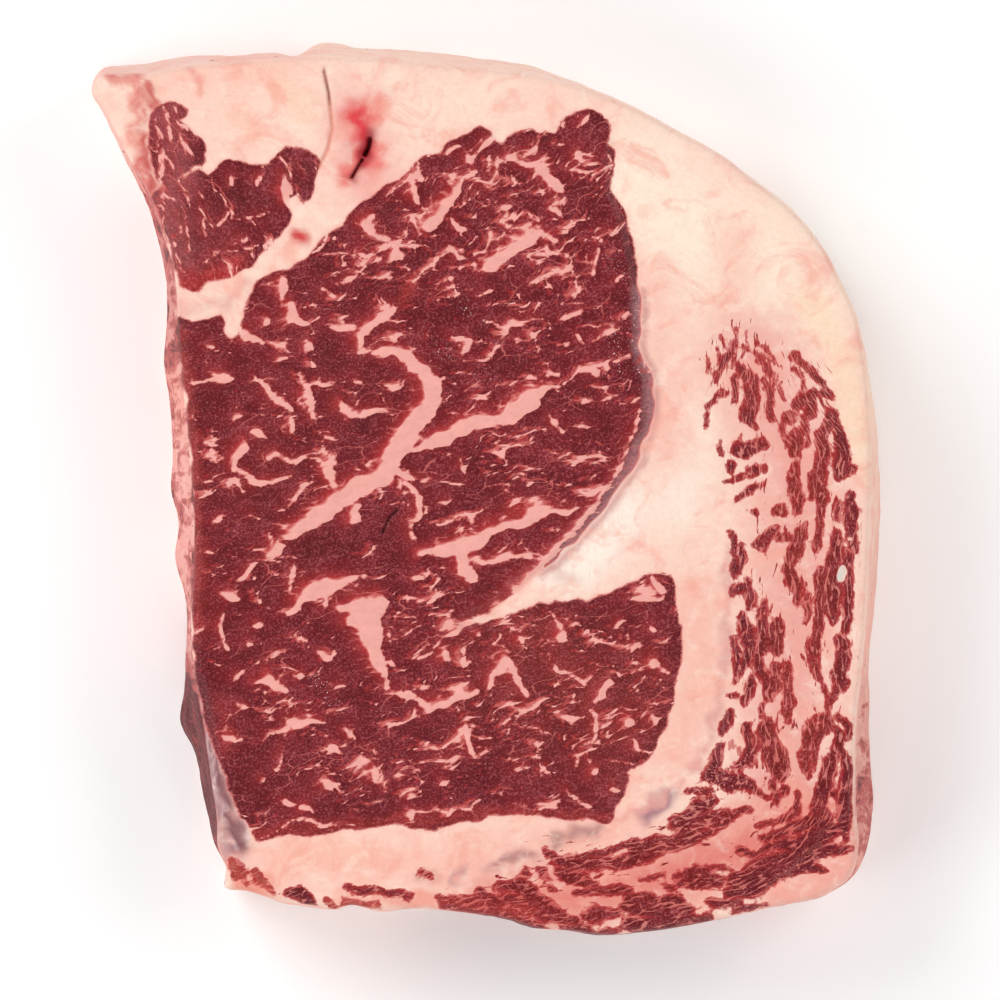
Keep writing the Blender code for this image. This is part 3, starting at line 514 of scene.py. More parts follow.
LEAN_TONE: Tone = (129, 32, 41)
LEAN_WASHES = (
    Wash((146, 48, 47), 24, .85, ((8, -32), (24, -42))),
    Wash((124, 34, 39), 14, .7, ((-40, 4), (-34, -12))),
    Wash((124, 34, 39), 10, .6, ((-20, 12), (-28, 18))),
    Wash((178, 92, 94), 6, .95, ((-59.5, 55), (-57.5, 47), (-55, 41))),
    Wash((206, 56, 54), 4.5, .85, ((-55.5, 38.3), (-50, 39), (-46.5, 41))),
    Wash((124, 42, 48), 8, .6, ((-49, 52), (-40, 56), (-35, 60))),
    Wash((174, 84, 88), 6, .95, ((-59.5, 69), (-57.8, 63), (-56.5, 57))),
    Wash((158, 60, 64), 6, .7, ((-53, 50), (-48, 45))),
    Wash((192, 62, 58), 3.0, .7, ((-57, 28), (-55.2, 14), (-54, 0), (-53.6, -14), (-53.6, -26))),
    Wash((196, 62, 58), 2.8, .6, ((-42, -63.8), (-20, -61.8), (0, -59.8), (22, -60.8))),
    Wash((176, 60, 60), 2.8, .5, ((-49, -38), (-47.5, -48))),
    Wash((200, 60, 55), 2.8, .75, ((5, -3), (8, -5))),
    Wash((200, 62, 56), 2.8, .65, ((-15, 35), (-13.5, 38.5))),
    Wash((205, 88, 52), 1.0, .9, ((54.1, -3.7), (54.5, -3.7))),
    Wash((150, 34, 34), 13, .95, ((57, -44), (56, -58), (36, -70), (8, -76))),
    Wash((168, 52, 46), 13, .95, ((52, 22), (59, 5), (58, -30), (57, -44))),
    Wash((196, 60, 52), 3.2, .7, ((-9, -76), (8, -78))),
    Wash((222, 108, 90), 3.0, .85, ((-47, -69), (-44, -72.5), (-40.5, -73.5))),
    Wash((224, 96, 76), 2.6, .85, ((-30, -76), (-20, -76.8))),
)

# How rich the fine marbling is: 1 for the most
MARBLING = (
    (0.48, 90, ((0, 0), (1, 0))),
    (0.64, 22, ((-5, 54), (14, 58), (12, 40))),
    (0.58, 16, ((-12, 34), (-22, 42))),
    (0.34, 16, ((-36, 4), (-30, -12))),
    (0.30, 10, ((-28, 20), (-20, 14))),
    (0.62, 20, ((8, -32), (24, -42))),
    (0.60, 16, ((-30, -46), (-12, -52))),
    (0.38, 13, ((-57, 66), (-56, 48), (-46, 44))),
    (0.24, 9, ((-46, 53), (-38, 56))),
    (0.16, 9, ((-24, -4), (-17, -12))),
)

# Tone and share of lean of the side wall at places round the edge
WALL_PLACES = (
    ((-71, 75), (247, 200, 188), .12), ((-56, 78), (249, 205, 192), .08),
    ((-40, 80), (250, 200, 186), .14), ((-24, 80), (252, 214, 198), .04),
    ((0, 78), (252, 212, 196), .06), ((20, 74), (253, 218, 200), .02),
    ((44, 61), (253, 228, 208), .0), ((61, 46), (253, 228, 206), .0),
    ((70, 22), (252, 220, 196), .0), ((71, 3), (250, 208, 190), .04),
    ((70, -22), (244, 188, 172), .14), ((68, -44), (228, 160, 148), .34),
    ((68, -60), (214, 140, 132), .46), ((67, -71), (232, 160, 148), .36),
    ((50, -77), (224, 122, 112), .62), ((30, -81), (206, 96, 90), .86),
    ((10, -81), (206, 96, 88), .84), ((-8, -78), (222, 120, 108), .62),
    ((-24, -77), (248, 190, 174), .14), ((-42, -75), (248, 192, 178), .10),
    ((-49, -66), (200, 112, 110), .64), ((-51, -54), (132, 46, 50), .98),
    ((-53, -42), (136, 52, 56), .94), ((-54, -28), (232, 164, 158), .44),
    ((-54, -12), (238, 168, 160), .42), ((-54, 4), (242, 172, 162), .38),
    ((-56, 20), (238, 160, 148), .44), ((-57, 34), (216, 144, 138), .46),
    ((-59, 46), (206, 132, 126), .52), ((-63, 56), (226, 134, 124), .44),
    ((-68, 66), (244, 190, 178), .18),
)


def screen_tone(tone: Sequence[float]) -> np.ndarray:
    """Turns a colour on a screen, from 0 to 255, into the linear one that light adds up in."""
    share = np.asarray(tone, dtype=float) / 255.0
    return np.where(share <= 0.04045, share / 12.92, ((share + 0.055) / 1.055) ** 2.4)


def ease(value: np.ndarray) -> np.ndarray:
    """Eases from 0 to 1 as the values do."""
    value = np.clip(value, 0.0, 1.0)
    return value * value * (3.0 - 2.0 * value)


def lump(places: np.ndarray, length: float, seed: float = 0.0) -> np.ndarray:
    """Smooth noise between about -1 and 1.

    Args:
        places: Rows of x, y, or of x, y, z.
        length: Size of the features.
        seed: Moves the noise, so that two calls differ.

    Returns:
        One number for each row.
    """
    solid = np.zeros((len(places), 3))
    solid[:, :places.shape[1]] = places
    solid = solid / length
    solid[:, 2] += seed
    return np.array([noise.noise(row) for row in solid.tolist()])


def lumps(places: np.ndarray, length: float, seeds: tuple[float, float]) -> np.ndarray:
    """Two kinds of smooth noise at each place, one for x and one for y."""
    return np.stack([lump(places, length, seed) for seed in seeds], 1)


def smooth_loop(knots: Iterable[Sequence[float]], step: float) -> np.ndarray:
    """Closed smooth curve through knots.

    Args:
        knots: Points of the loop. What follows x and y rides along.
        step: Distance between the samples.

    Returns:
        The samples, one a row.
    """
    points = [Vector((*knot, 0.0)[:3]) for knot in knots]
    count = len(points)
    gaps = [(points[(i + 1) % count].xy - points[i].xy).length for i in range(count)]
    slopes = []
    for i in range(count):
        arriving = (points[i] - points[i - 1]) / gaps[i - 1]
        leaving = (points[(i + 1) % count] - points[i]) / gaps[i]
        slopes.append((arriving * gaps[i] + leaving * gaps[i - 1]) / (gaps[i] + gaps[i - 1]))
    samples = []
    for i in range(count):
        start, end, gap = points[i], points[(i + 1) % count], gaps[i]
        cuts = max(1, round(gap / step))
        for t in (cut / cuts for cut in range(cuts)):
            samples.append(
                start * (2 * t**3 - 3 * t**2 + 1) + slopes[i] * gap * (t**3 - 2 * t**2 + t)
                + end * (3 * t**2 - 2 * t**3) + slopes[(i + 1) % count] * gap * (t**3 - t**2))
    return np.array([sample[:] for sample in samples])


def from_segment(places: np.ndarray, start: np.ndarray, end: np.ndarray) -> tuple:
    """Distances from places to a segment.

    Args:
        places: Rows of x, y.
        start: Start of the segment.
        end: End of the segment.

    Returns:
        The distances, the shares of the way along, and the offsets from the nearest points.
    """
    along = end - start
    share = np.clip((places - start) @ along / max(along @ along, 1e-9), 0.0, 1.0)
    offset = places - (start + share[:, None] * along)
    return np.hypot(offset[:, 0], offset[:, 1]), share, offset


def near(places: np.ndarray, start: np.ndarray, end: np.ndarray, reach: float) -> np.ndarray:
    """Indices of the places within a reach of a segment's box."""
    low, high = np.minimum(start, end) - reach, np.maximum(start, end) + reach
    inside = (places > low) & (places < high)
    return np.flatnonzero(inside[:, 0] & inside[:, 1])


def route_distance(places: np.ndarray, route: Route, reach: float) -> np.ndarray:
    """Signed distance to a route, positive on its left and no more than the reach."""
    best = np.full(len(places), float(reach))
    sign = np.ones(len(places))
    corners = np.asarray(route, dtype=float)
    for start, end in zip(corners, corners[1:]):
        rows = near(places, start, end, reach)
        distance, _, offset = from_segment(places[rows], start, end)
        along = end - start
        side = np.where(along[0] * offset[:, 1] - along[1] * offset[:, 0] < 0, -1.0, 1.0)
        closer = distance < best[rows]
        best[rows[closer]] = distance[closer]
        sign[rows[closer]] = side[closer]
    return best * sign


def loop_depth(places: np.ndarray, loop: np.ndarray, reach: float) -> np.ndarray:
    """How deep places lie inside a loop: negative outside, between minus and plus the reach."""
    best = np.full(len(places), float(reach))
    inside = np.zeros(len(places), dtype=bool)
    for start, end in zip(loop, np.roll(loop, -1, axis=0)):
        rows = near(places, start, end, reach)
        distance, _, _ = from_segment(places[rows], start, end)
        best[rows] = np.minimum(best[rows], distance)
        if start[1] != end[1]:
            spans = (start[1] > places[:, 1]) != (end[1] > places[:, 1])
            slope = (end[0] - start[0]) / (end[1] - start[1])
            inside ^= spans & (places[:, 0] < start[0] + (places[:, 1] - start[1]) * slope)
    return np.where(inside, best, -best)


# Ends of a plain stroke as a share of its width, and the side and the reach of the glow beside it
STROKE_TAPER = 0.55
GLOW_SIDE = np.array((-0.86, 0.51))
GLOW_REACH = 1.5


def plain_stroke(stroke: Stroke) -> np.ndarray:
    """Rows of x, y and half width of a stroke, whichever way it is given."""
    if not isinstance(stroke[-1], (int, float)):
        return np.array(stroke, dtype=float)
    points = np.array([(x, y, stroke[-1]) for x, y in stroke[:-1]], dtype=float)
    middle = (points[0] + points[1]) / 2
    if len(points) == 2:
        points = np.array([points[0], middle, points[1]])
    points[0, 2] *= STROKE_TAPER
    points[-1, 2] *= STROKE_TAPER
    return points


def stroke_depth(places: np.ndarray, strokes: Iterable[Stroke], reach: float = 5.0) -> tuple:
    """How deep places lie inside tapered strokes, and the red glow beside the strokes.

    Args:
        places: Rows of x, y.
        strokes: The strokes.
        reach: Distance beyond which the depth is cut off.

    Returns:
        The depths, negative outside, and the glow from 0 to 1.
    """
    depth = np.full(len(places), -reach)
    glow = np.zeros(len(places))
    for stroke in map(plain_stroke, strokes):
        for start, end in zip(stroke, stroke[1:]):
            rows = near(places, start[:2], end[:2], reach)
            distance, share, offset = from_segment(places[rows], start[:2], end[:2])
            half_width = start[2] + share * (end[2] - start[2])
            depth[rows] = np.maximum(depth[rows], half_width - distance)
            facing = (offset @ GLOW_SIDE) / np.maximum(distance, 0.05)
            fade = np.exp(-np.maximum(distance - half_width, 0.0) / GLOW_REACH)
            beside = fade * np.clip(0.35 + 0.65 * facing, 0, 1) * np.clip(half_width / 0.9, 0.3, 1)
            glow[rows] = np.maximum(glow[rows], beside)
    return depth, glow


def laid_tone(places: np.ndarray, under: np.ndarray, washes: Iterable[Wash]) -> np.ndarray:
    """Linear colour at each place, after washes have been laid over one colour or over many."""
    colour = np.broadcast_to(under, (len(places), 3)).copy()
    for wash in washes:
        distance = np.abs(route_distance(places, wash.route, wash.reach))
        weight = wash.strength * ease(1.0 - distance / wash.reach)
        colour += (screen_tone(wash.tone) - colour) * weight[:, None]
    return colour


@dataclass
class Tissue:
    """What the flesh is at each of many places.

    Attributes:
        lean: Depth inside a muscle, negative outside.
        vein: Depth inside a seam or a fleck of fat.
        bundle: Depth inside a bundle of lean in the cap muscle.
        glow: Bright red beside the fat, from 0 to 1.
        marbling: How much more or less fine marbling there is than usual, about 0.
        glint_share: Share of the small painted glints of moisture, highlights laid into the colour.
        cap: Share of the cap muscle's streaks.
        smooth: How smooth the outline of the lean is, from 0 to 1.
        fat_tone: Linear colour of the fat.
        lean_tone: Linear colour of the lean.
        grain: Coordinates along and across the grain, with a seed.
    """

    lean: np.ndarray
    vein: np.ndarray
    bundle: np.ndarray
    glow: np.ndarray
    marbling: np.ndarray
    glint_share: np.ndarray
    cap: np.ndarray
    smooth: np.ndarray
    fat_tone: np.ndarray
    lean_tone: np.ndarray
    grain: np.ndarray

    def at(self, rows: Union[slice, np.ndarray]) -> "Tissue":
        """The tissue of some of the places."""
        return Tissue(**{name: values[rows] for name, values in vars(self).items()})

    def blend(self, other: "Tissue", share: np.ndarray) -> "Tissue":
        """Mixes two tissues.

        Args:
            other: The tissue that a share of 1 gives.
            share: Share of the other at each place.

        Returns:
            The mixed tissue.
        """
        mixed = {}
        for name, mine in vars(self).items():
            part = share[:, None] if mine.ndim == 2 else share
            mixed[name] = mine + (getattr(other, name) - mine) * part
        return Tissue(**mixed)


# Raggedness of the outlines, drift from cut to cut, fraying of the tones and bends of the grain:
# how far each one reaches, and how long its waves are
OUTLINE_STEP = 0.9
OUTLINE_REACH = 5.0
WOBBLE_LENGTH = 3.1
DRIFT_LENGTH = 27.0
FRAY = 1.5
FRAY_LENGTH = 2.6
GRAIN_BEND = 0.9
GRAIN_BEND_LENGTH = 4.5

# How steeply the grain climbs to the east: everywhere, and what is added from a height on, over a
# distance, in the upper and in the lower part; then in the corner muscle
GRAIN_CLIMB = 0.27
UPPER_CLIMB = (0.30, 8.0, 55.0)
LOWER_CLIMB = (0.12, 8.0, 34.0)
CORNER_CLIMB = -1.6
GRAIN_START = 10.0

# The cap muscle: its run, how wide it is, how its bundles swell, and where its grain turns and fans
CAP_RUN = ((46, 26), (55, 16), (58, 0), (58, -25), (56, -52), (44, -64), (22, -72), (4, -76))
CAP_REACH = 13.0
CAP_SWELL = 0.34
CAP_TURN = (40.0, -50.0)
CAP_TURN_REACH = 18.0
CAP_FAN = (47.0, 5.0)

# Tone of the marbling, reach of the eye muscle's smooth side, and where small glints of moisture are
# painted into the colour as highlights
MARBLING_TONE: Tone = (239, 161, 153)
MARBLING_SHARE = 0.85
SMOOTH_REACH = 3.5
PAINTED_GLINT_REACH = 2.2
PAINTED_GLINT_ROUTES = (
    ((28, 36), (27.5, 28), (29, 20)), ((24, 30), (25, 20)), ((-8.5, 26.5), (-7, 25)),
    ((-4, 34.5), (-1, 31.5)), ((-1, 21), (0, 21)), ((-31, -35), (-28, -39)), ((22, 44), (26, 40)),
)


@dataclass
class CutFace:
    """Anatomy of a cut through the rib: muscles, seams, flecks and tones.

    Attributes:
        drift: How far the anatomy has moved from the upper cut face.
        seed: Makes the small irregularities of one face differ from another's.
        strokes_of_fat: Seams and flecks that this face shows.
        wobble: Raggedness of every outline.
    """

    drift: float = 0.0
    seed: float = 0.0
    strokes_of_fat: tuple[Stroke, ...] = (
        SEAMS + UPPER_FLECKS + LEFT_FLECKS + MIDDLE_FLECKS + LOWER_FLECKS + UNDER_FLECKS)
    wobble: float = 0.38

    def moved(self, places: np.ndarray) -> np.ndarray:
        """Places shifted by the face's drift and by the raggedness of its outlines."""
        moved = places + 2.0 * self.wobble * lumps(
            places, WOBBLE_LENGTH, (11.3 + self.seed, 47.9 + self.seed))
        if self.drift:
            moved += 2.0 * self.drift * lumps(places, DRIFT_LENGTH, (5.1 + self.seed, 71.7 + self.seed))
        return moved

    def read(self, places: np.ndarray) -> Tissue:
        """Finds the tissue at places of this face."""
        at = self.moved(places)
        eye, *lobes = (loop_depth(at, smooth_loop(loop, OUTLINE_STEP)[:, :2], OUTLINE_REACH)
                       for loop in (EYE_MUSCLE, *CORNER_MUSCLE))
        corner = np.max(lobes, 0)
        vein, glow = stroke_depth(at, self.strokes_of_fat)
        bundle, _ = stroke_depth(at, CAP_BUNDLES + SWEEP_BUNDLES)
        inside = ease((np.maximum(eye, corner) + 1.0) / 2.0)
        frayed = at + FRAY * lumps(at, FRAY_LENGTH, (91.0, 17.0))
        fat_tone = laid_tone(frayed, screen_tone(FAT_TONE), FAT_WASHES)
        # The painted light and shade of the eye muscle's side, and the creases' painted shade, go over the
        # fat's tone
        fat_tone = laid_tone(places, laid_tone(at, fat_tone, FAT_SIDE_SHADING), CREASE_SHADE_AND_MARKS)
        lean_tone = laid_tone(frayed, screen_tone(LEAN_TONE), LEAN_WASHES)
        fat_tone += (screen_tone(MARBLING_TONE) - fat_tone) * inside[:, None] * MARBLING_SHARE
        lean = np.maximum(eye, corner)
        cap = self.cap_share(at)
        grain = self.grain(at, ease(corner + 1.0))
        in_cap = (cap > 0.01) & (lean < -0.6)
        grain[in_cap] = self.cap_grain(at[in_cap])
        # Share of the painted glints: highlights of moisture laid into the colour near these routes
        from_glints = np.min([np.abs(route_distance(at, route, PAINTED_GLINT_REACH)) for route in PAINTED_GLINT_ROUTES], 0)
        from_side = np.abs(route_distance(at, EYE_SIDE, SMOOTH_REACH))
        patchy = lump(grain * (0.7, 1, 1), 8.0, 90.0)
        return Tissue(
            lean=lean, vein=vein, bundle=bundle + CAP_SWELL, glow=glow * inside,
            marbling=0.34 * (self.richness(at) - 0.5) + 0.20 * patchy,
            glint_share=ease(1.0 - from_glints / PAINTED_GLINT_REACH), cap=cap,
            smooth=ease(1.7 * (1.0 - from_side / SMOOTH_REACH)), fat_tone=fat_tone, grain=grain,
            # The creases' painted shade, and the painted light and shade of the eye muscle's side, go over
            # the lean's tone
            lean_tone=laid_tone(places, laid_tone(at, lean_tone, LEAN_SIDE_SHADING), CREASE_SHADE_AND_MARKS))

    @staticmethod
    def cap_share(at: np.ndarray) -> np.ndarray:
        """Share of the cap muscle at places."""
        distance = np.abs(route_distance(at, CAP_RUN, CAP_REACH))
        return ease((1.0 - distance / CAP_REACH) * 2.2)

    @staticmethod
    def richness(at: np.ndarray) -> np.ndarray:
        """Richness of the fine marbling at places."""
        rich = np.zeros(len(at))
        for level, reach, route in MARBLING:
            weight = ease(1.35 * (1.0 - np.abs(route_distance(at, route, reach)) / reach))
            rich += (level - rich) * weight
        return rich

    def grain(self, at: np.ndarray, corner: np.ndarray) -> np.ndarray:
        """Coordinates along and across the grain.

        Args:
            at: The places.
            corner: Share of the corner muscle.

        Returns:
            Rows of the distance along the grain, the distance across it and a seed.
        """
        x, y = at[:, 0], at[:, 1]
        climb = GRAIN_CLIMB
        for height, (more, start, length) in ((y, UPPER_CLIMB), (-y, LOWER_CLIMB)):
            climb = climb + more * ease((height - start) / length)
        climb = np.where(corner > 0.5, CORNER_CLIMB, climb)
        length = np.sqrt(1.0 + climb**2)
        across = (y - climb * (x + GRAIN_START)) / length
        along = (x + climb * y) / length
        grain = np.stack([along, across, self.seed * 3.1 + 80.0 * (corner > 0.5)], 1)
        grain[:, :2] += GRAIN_BEND * lumps(grain, GRAIN_BEND_LENGTH, (33.0, 55.0))
        return grain

    def cap_grain(self, at: np.ndarray) -> np.ndarray:
        """Coordinates along and across the grain of the cap, which turns with the steak's corner."""
        east, down = at[:, 0] - CAP_TURN[0], CAP_TURN[1] - at[:, 1]
        angle = np.arctan2(np.maximum(down, 0.0), np.maximum(east, 1e-6))
        along = CAP_TURN_REACH * angle + np.minimum(down, 0.0) + np.maximum(-east, 0.0)
        across = np.hypot(np.maximum(east, 0.0), np.maximum(down, 0.0)) - 0.22 * np.maximum(-east, 0.0)
        across += (at[:, 0] - CAP_FAN[0]) * 1.1 * ease((at[:, 1] - CAP_FAN[1]) / 25.0)
        return np.stack([along, across, np.full(len(at), 160.0 + self.seed)], 1)


# Drift of the wall's flesh, depth and tone of its lean, and a depth that is far from any fleck
WALL_SHIFT = 5.0
WALL_SHIFT_LENGTH = 19.0
WALL_LEAN_DEPTH = 3.6
WALL_LEAN_TONE: Tone = (116, 22, 26)
FAR_OUT = -3.0


@dataclass
class SideWall:
    """Flesh that shows on the side of the slice.

    Attributes:
        spread: How far the tone of one place round the edge reaches.
        seed: Seed of the irregularities.
    """

    spread: float = 8.0
    seed: float = 23.0

    def read(self, places: np.ndarray, heights: np.ndarray) -> Tissue:
        """Finds the tissue at places of the wall.

        Args:
            places: Rows of x, y.
            heights: Heights over the underside.

        Returns:
            The tissue there.
        """
        count = len(places)
        solid = np.column_stack([places, heights])
        at = places + WALL_SHIFT * lumps(solid, WALL_SHIFT_LENGTH, (3.3, 8.8))
        spots = np.array([place for place, _, _ in WALL_PLACES], dtype=float)
        tones = np.array([screen_tone(tone) for _, tone, _ in WALL_PLACES])
        leans = np.array([share for _, _, share in WALL_PLACES])
        distance = np.linalg.norm(at[:, None, :] - spots[None], axis=2)
        weight = np.exp(-(distance / self.spread) ** 2) + 1e-6 / (1.0 + distance)
        weight /= weight.sum(axis=1, keepdims=True)
        lean = (weight @ leans - 0.5) * WALL_LEAN_DEPTH + 0.7 * lump(solid, 9.0, self.seed)
        dark = np.tile(screen_tone(WALL_LEAN_TONE), (count, 1))
        return Tissue(
            lean=lean, vein=np.full(count, FAR_OUT), bundle=np.full(count, FAR_OUT),
            glow=np.zeros(count), marbling=np.full(count, -0.06), glint_share=np.zeros(count),
            cap=np.clip(weight @ leans * 0.6, 0, 0.5), smooth=np.zeros(count),
            fat_tone=weight @ tones, lean_tone=dark,
            grain=np.column_stack([heights, places.sum(axis=1), np.full(count, 11.0)]))


# Height shares of the side wall's rows: at its rolled lower edge, between, and at its upper edge
LOW_ROLL = (0.0, 0.012, 0.032)
WALL_SPAN = (0.06, 0.95)
TOP_ROLL = (0.968, 0.982, 0.990, 0.9955, 1.0)

# Height shares between which the wall's flesh runs into that of the upper and the lower face
TOP_RUN = (0.90, 0.075)
LOW_RUN = (0.10, 0.08)

# Height shares from which and up to which the flesh counts as wall, and how fast that fades
WALL_FROM, WALL_TO, WALL_FADE = 0.03, 0.92, 0.06

# Lumps of the wall: height, upright squeeze, length, seed
WALL_LUMPS = ((0.55, 1.0, 13.0, 0.0), (0.28, 2.2, 5.0, 4.0), (0.12, 1.6, 1.9, 9.0))

# Form of the upper face: waves, creases, the hollow round the vessel, and the silverskin's slope
SWELL_LENGTH = 34.0
CREASE_REACH = 4.0
VESSEL_CENTRE = np.array((-22.6, 62.2))
VESSEL_FUNNEL = 4.2
VESSEL_DEPTH = 1.1
SILVERSKIN_SLOPE = 0.6
SILVERSKIN_REACH = 9.0
SILVERSKIN_START = 11.0
SILVERSKIN_END = 4.0

# Low relief: how proud the fat stands and how softly, a mottle as height, length and seed, and the
# fibres' height, stretch, width and seed
FAT_RISE = 0.16
SOFT_EDGE = 0.3
MOTTLE = ((0.10, 4.5, 13.0), (0.05, 1.7, 29.0))
FIBRE_RISE, FIBRE_STRETCH, FIBRE_WIDTH, FIBRE_SEED = 0.07, 3.5, 0.9, 61.0
RELIEF_MARGIN = 1.5

# Gaps from the edge to the first points inside it, on the muscles, the fat and the underside
FINE_MARGIN, PLAIN_MARGIN, LOWER_MARGIN = 0.5, 0.6, 0.9

# Where points lie close: on the muscles, and along routes with a half width and a reach
DETAIL_STEP = 2.0
DETAIL_REACH = 4.0
DETAIL_MARGIN = 1.2
DETAIL_ROUTES = (
    (CAP_RUN, 12.0, 16.0), (((-30, 78), (-28.4, 67), (-30.9, 59.8)), 1.0, 4.0),
    (((-21, 66), (-25, 57)), 1.0, 4.0),
)

# The crack and the vessel's slits, whose points lie closer still
CLOSE_CREASES = ("crack in the fat", "upper vessel", "lower vessel", "slit in the eye muscle")
CLOSE_LOOP = np.array(((-34.0, -10.0), (-14.0, -10.0), (-14.0, 77.8), (-34.0, 77.8)))
CLOSE_REACH = 1.2
CLOSE_GAP = 0.2
CLOSE_MARGIN = 0.1

# Setting of the triangulation that keeps what lies inside, and the gap that it takes as none
KEEP_INSIDE = 1
NO_GAP = 1e-7

# Rows that are measured against the edge at a time
BLOCK = 4000

# Layout of the unwrapped skin: its border, the scale of each piece to a millimetre, and where the
# underside and the two halves of the wall lie
BORDER = 0.008
UPPER_SCALE, LOWER_SCALE, WALL_SCALE = 0.0042, 0.0024, 0.0037
LOWER_LEFT = 0.642
WALL_FLOOR, WALL_GAP, WALL_RISE = 0.735, 0.13, 0.12


@dataclass
class RibeyeSlice:
    """The whole steak: one closed skin of flesh on the rule of the part's solid.

    Attributes:
        thickness: Height of the slice.
        centre: Middle of the slice's box, which the steak is centred on.
        edge_step: Distance between points round the edge.
        wall_rows: Rows of points up the side wall.
        fine_step: Spacing of points on the muscles of the upper face.
        plain_step: Spacing of points on its fat.
        lower_step: Spacing of points on the underside.
        swell: Height of the slow swell of the upper face.
        upper: Anatomy of the upper cut face.
        lower: Anatomy of the underside.
        wall: Flesh of the side wall.
    """

    thickness: float = 32.0
    centre: tuple[float, float] = (0.13, 0.42)
    edge_step: float = 0.85
    wall_rows: int = 32
    fine_step: float = 0.56
    plain_step: float = 0.8
    lower_step: float = 1.5
    swell: float = 0.45
    upper: CutFace = field(default_factory=CutFace)
    lower: CutFace = field(default_factory=lambda: CutFace(
        drift=3.2, seed=6.4, strokes_of_fat=SEAMS + LOWER_FLECKS[:3] + MIDDLE_FLECKS[:3]))
    wall: SideWall = field(default_factory=SideWall)

    def top_height(self, places: np.ndarray) -> np.ndarray:
        """Height of the upper cut face over places, as the part's solid has it."""
        height = self.thickness + self.swell * lump(places, SWELL_LENGTH)
        for route, half_width, depth in CREASES.values():
            distance = np.abs(route_distance(places, route, CREASE_REACH))
            height -= depth * (1.0 - ease(distance / half_width))
        funnel = np.linalg.norm(places - VESSEL_CENTRE, axis=1) / VESSEL_FUNNEL
        height -= VESSEL_DEPTH * (1.0 - ease(funnel))
        outside = np.maximum(-route_distance(places, SILVERSKIN_EDGE, SILVERSKIN_REACH), 0.0)
        outside[outside >= SILVERSKIN_REACH - 0.01] = 0.0
        begin = ease((SILVERSKIN_EDGE[0][1] - places[:, 1]) / SILVERSKIN_START)
        finish = ease((places[:, 1] - SILVERSKIN_EDGE[-1][1]) / SILVERSKIN_END)
        return height - SILVERSKIN_SLOPE * outside * begin * finish

    def fine_relief(self, places: np.ndarray, tissue: Tissue) -> np.ndarray:
        """Low relief of the cut: fat stands a little proud of the lean, and grain shows."""
        lean, vein, bundle = (ease((depth + SOFT_EDGE) / (2.0 * SOFT_EDGE))
                              for depth in (tissue.lean, tissue.vein, tissue.bundle))
        fat = (1.0 - lean * (1.0 - vein)) * (1.0 - bundle)
        mottle = sum(height * lump(places, length, seed) for height, length, seed in MOTTLE)
        across = np.column_stack([tissue.grain[:, 0] / FIBRE_STRETCH, tissue.grain[:, 1]])
        fibres = FIBRE_RISE * lump(across, FIBRE_WIDTH, FIBRE_SEED) * (1.0 - fat)
        return FAT_RISE * fat - FAT_RISE / 2 + mottle + fibres

    def rings(self) -> tuple[np.ndarray, np.ndarray, np.ndarray]:
        """Points of the side wall.

        Returns:
            Positions by row and place round the edge, the height share of each row, and the
            distance round the edge of each place.
        """
        edge = smooth_loop(CUT_EDGE, self.edge_step)
        along = np.roll(edge, -4, axis=0)[:, :2] - np.roll(edge, 4, axis=0)[:, :2]
        along /= np.linalg.norm(along, axis=1, keepdims=True)
        outward = np.column_stack([-along[:, 1], along[:, 0]])
        steps = np.linalg.norm(np.roll(edge, -1, axis=0)[:, :2] - edge[:, :2], axis=1)
        round_edge = np.concatenate([[0.0], np.cumsum(steps)[:-1]])
        profile = np.array(WALL_PROFILE)
        middle = np.linspace(*WALL_SPAN, self.wall_rows - len(LOW_ROLL + TOP_ROLL))
        shares = np.concatenate([LOW_ROLL, middle, TOP_ROLL])
        reach = np.interp(shares, profile[:, 0], profile[:, 1])
        inset = np.interp(shares, profile[:, 0], profile[:, 2])
        rise = self.top_height(edge[:, :2])
        rows = []
        for share, out, back in zip(shares, reach, inset):
            height = share * rise
            solid = np.column_stack([edge[:, :2], height])
            swell = math.sin(math.pi * share) * sum(
                size * lump(solid * (1, 1, squeeze), length, seed)
                for size, squeeze, length, seed in WALL_LUMPS)
            flat = edge[:, :2] + outward * (edge[:, 2] * out + swell - back)[:, None]
            rows.append(np.column_stack([flat, height]))
        return np.array(rows), shares, round_edge

    def inner_points(self, loop: np.ndarray, step: float, margin: float) -> np.ndarray:
        """Staggered points inside a loop.

        Args:
            loop: The loop.
            step: Spacing of the points.
            margin: Gap that is kept to the loop.

        Returns:
            Rows of x, y.
        """
        low, high = loop.min(axis=0), loop.max(axis=0)
        gap = step * math.sqrt(3) / 2
        rows = np.arange(low[1], high[1], gap)
        starts = (low[0] - 0.5 * step * (i % 2) for i in range(len(rows)))
        points = np.array([
            (x, y) for start, y in zip(starts, rows) for x in np.arange(start, high[0], step)])
        return points[loop_depth(points, loop, margin * 2) > margin]

    def upper_points(self, loop: np.ndarray) -> np.ndarray:
        """Points of the upper face, closer together on the muscles than on the plain fat."""
        fine = self.inner_points(loop, self.fine_step, FINE_MARGIN)
        plain = self.inner_points(loop, self.plain_step, PLAIN_MARGIN)
        points = np.concatenate([fine[self.has_detail(fine) > 0],
                                 plain[self.has_detail(plain) < -self.plain_step * 0.6]])
        close = self.inner_points(CLOSE_LOOP, self.fine_step / 2, CLOSE_MARGIN)
        return np.concatenate([points[self.from_slits(points) > CLOSE_REACH + CLOSE_GAP],
                               close[self.from_slits(close) < CLOSE_REACH]])

    @staticmethod
    def from_slits(points: np.ndarray) -> np.ndarray:
        """Distance of points from the nearest of the narrow creases."""
        routes = (CREASES[name][0] for name in CLOSE_CREASES)
        return np.min([np.abs(route_distance(points, route, CREASE_REACH)) for route in routes], 0)

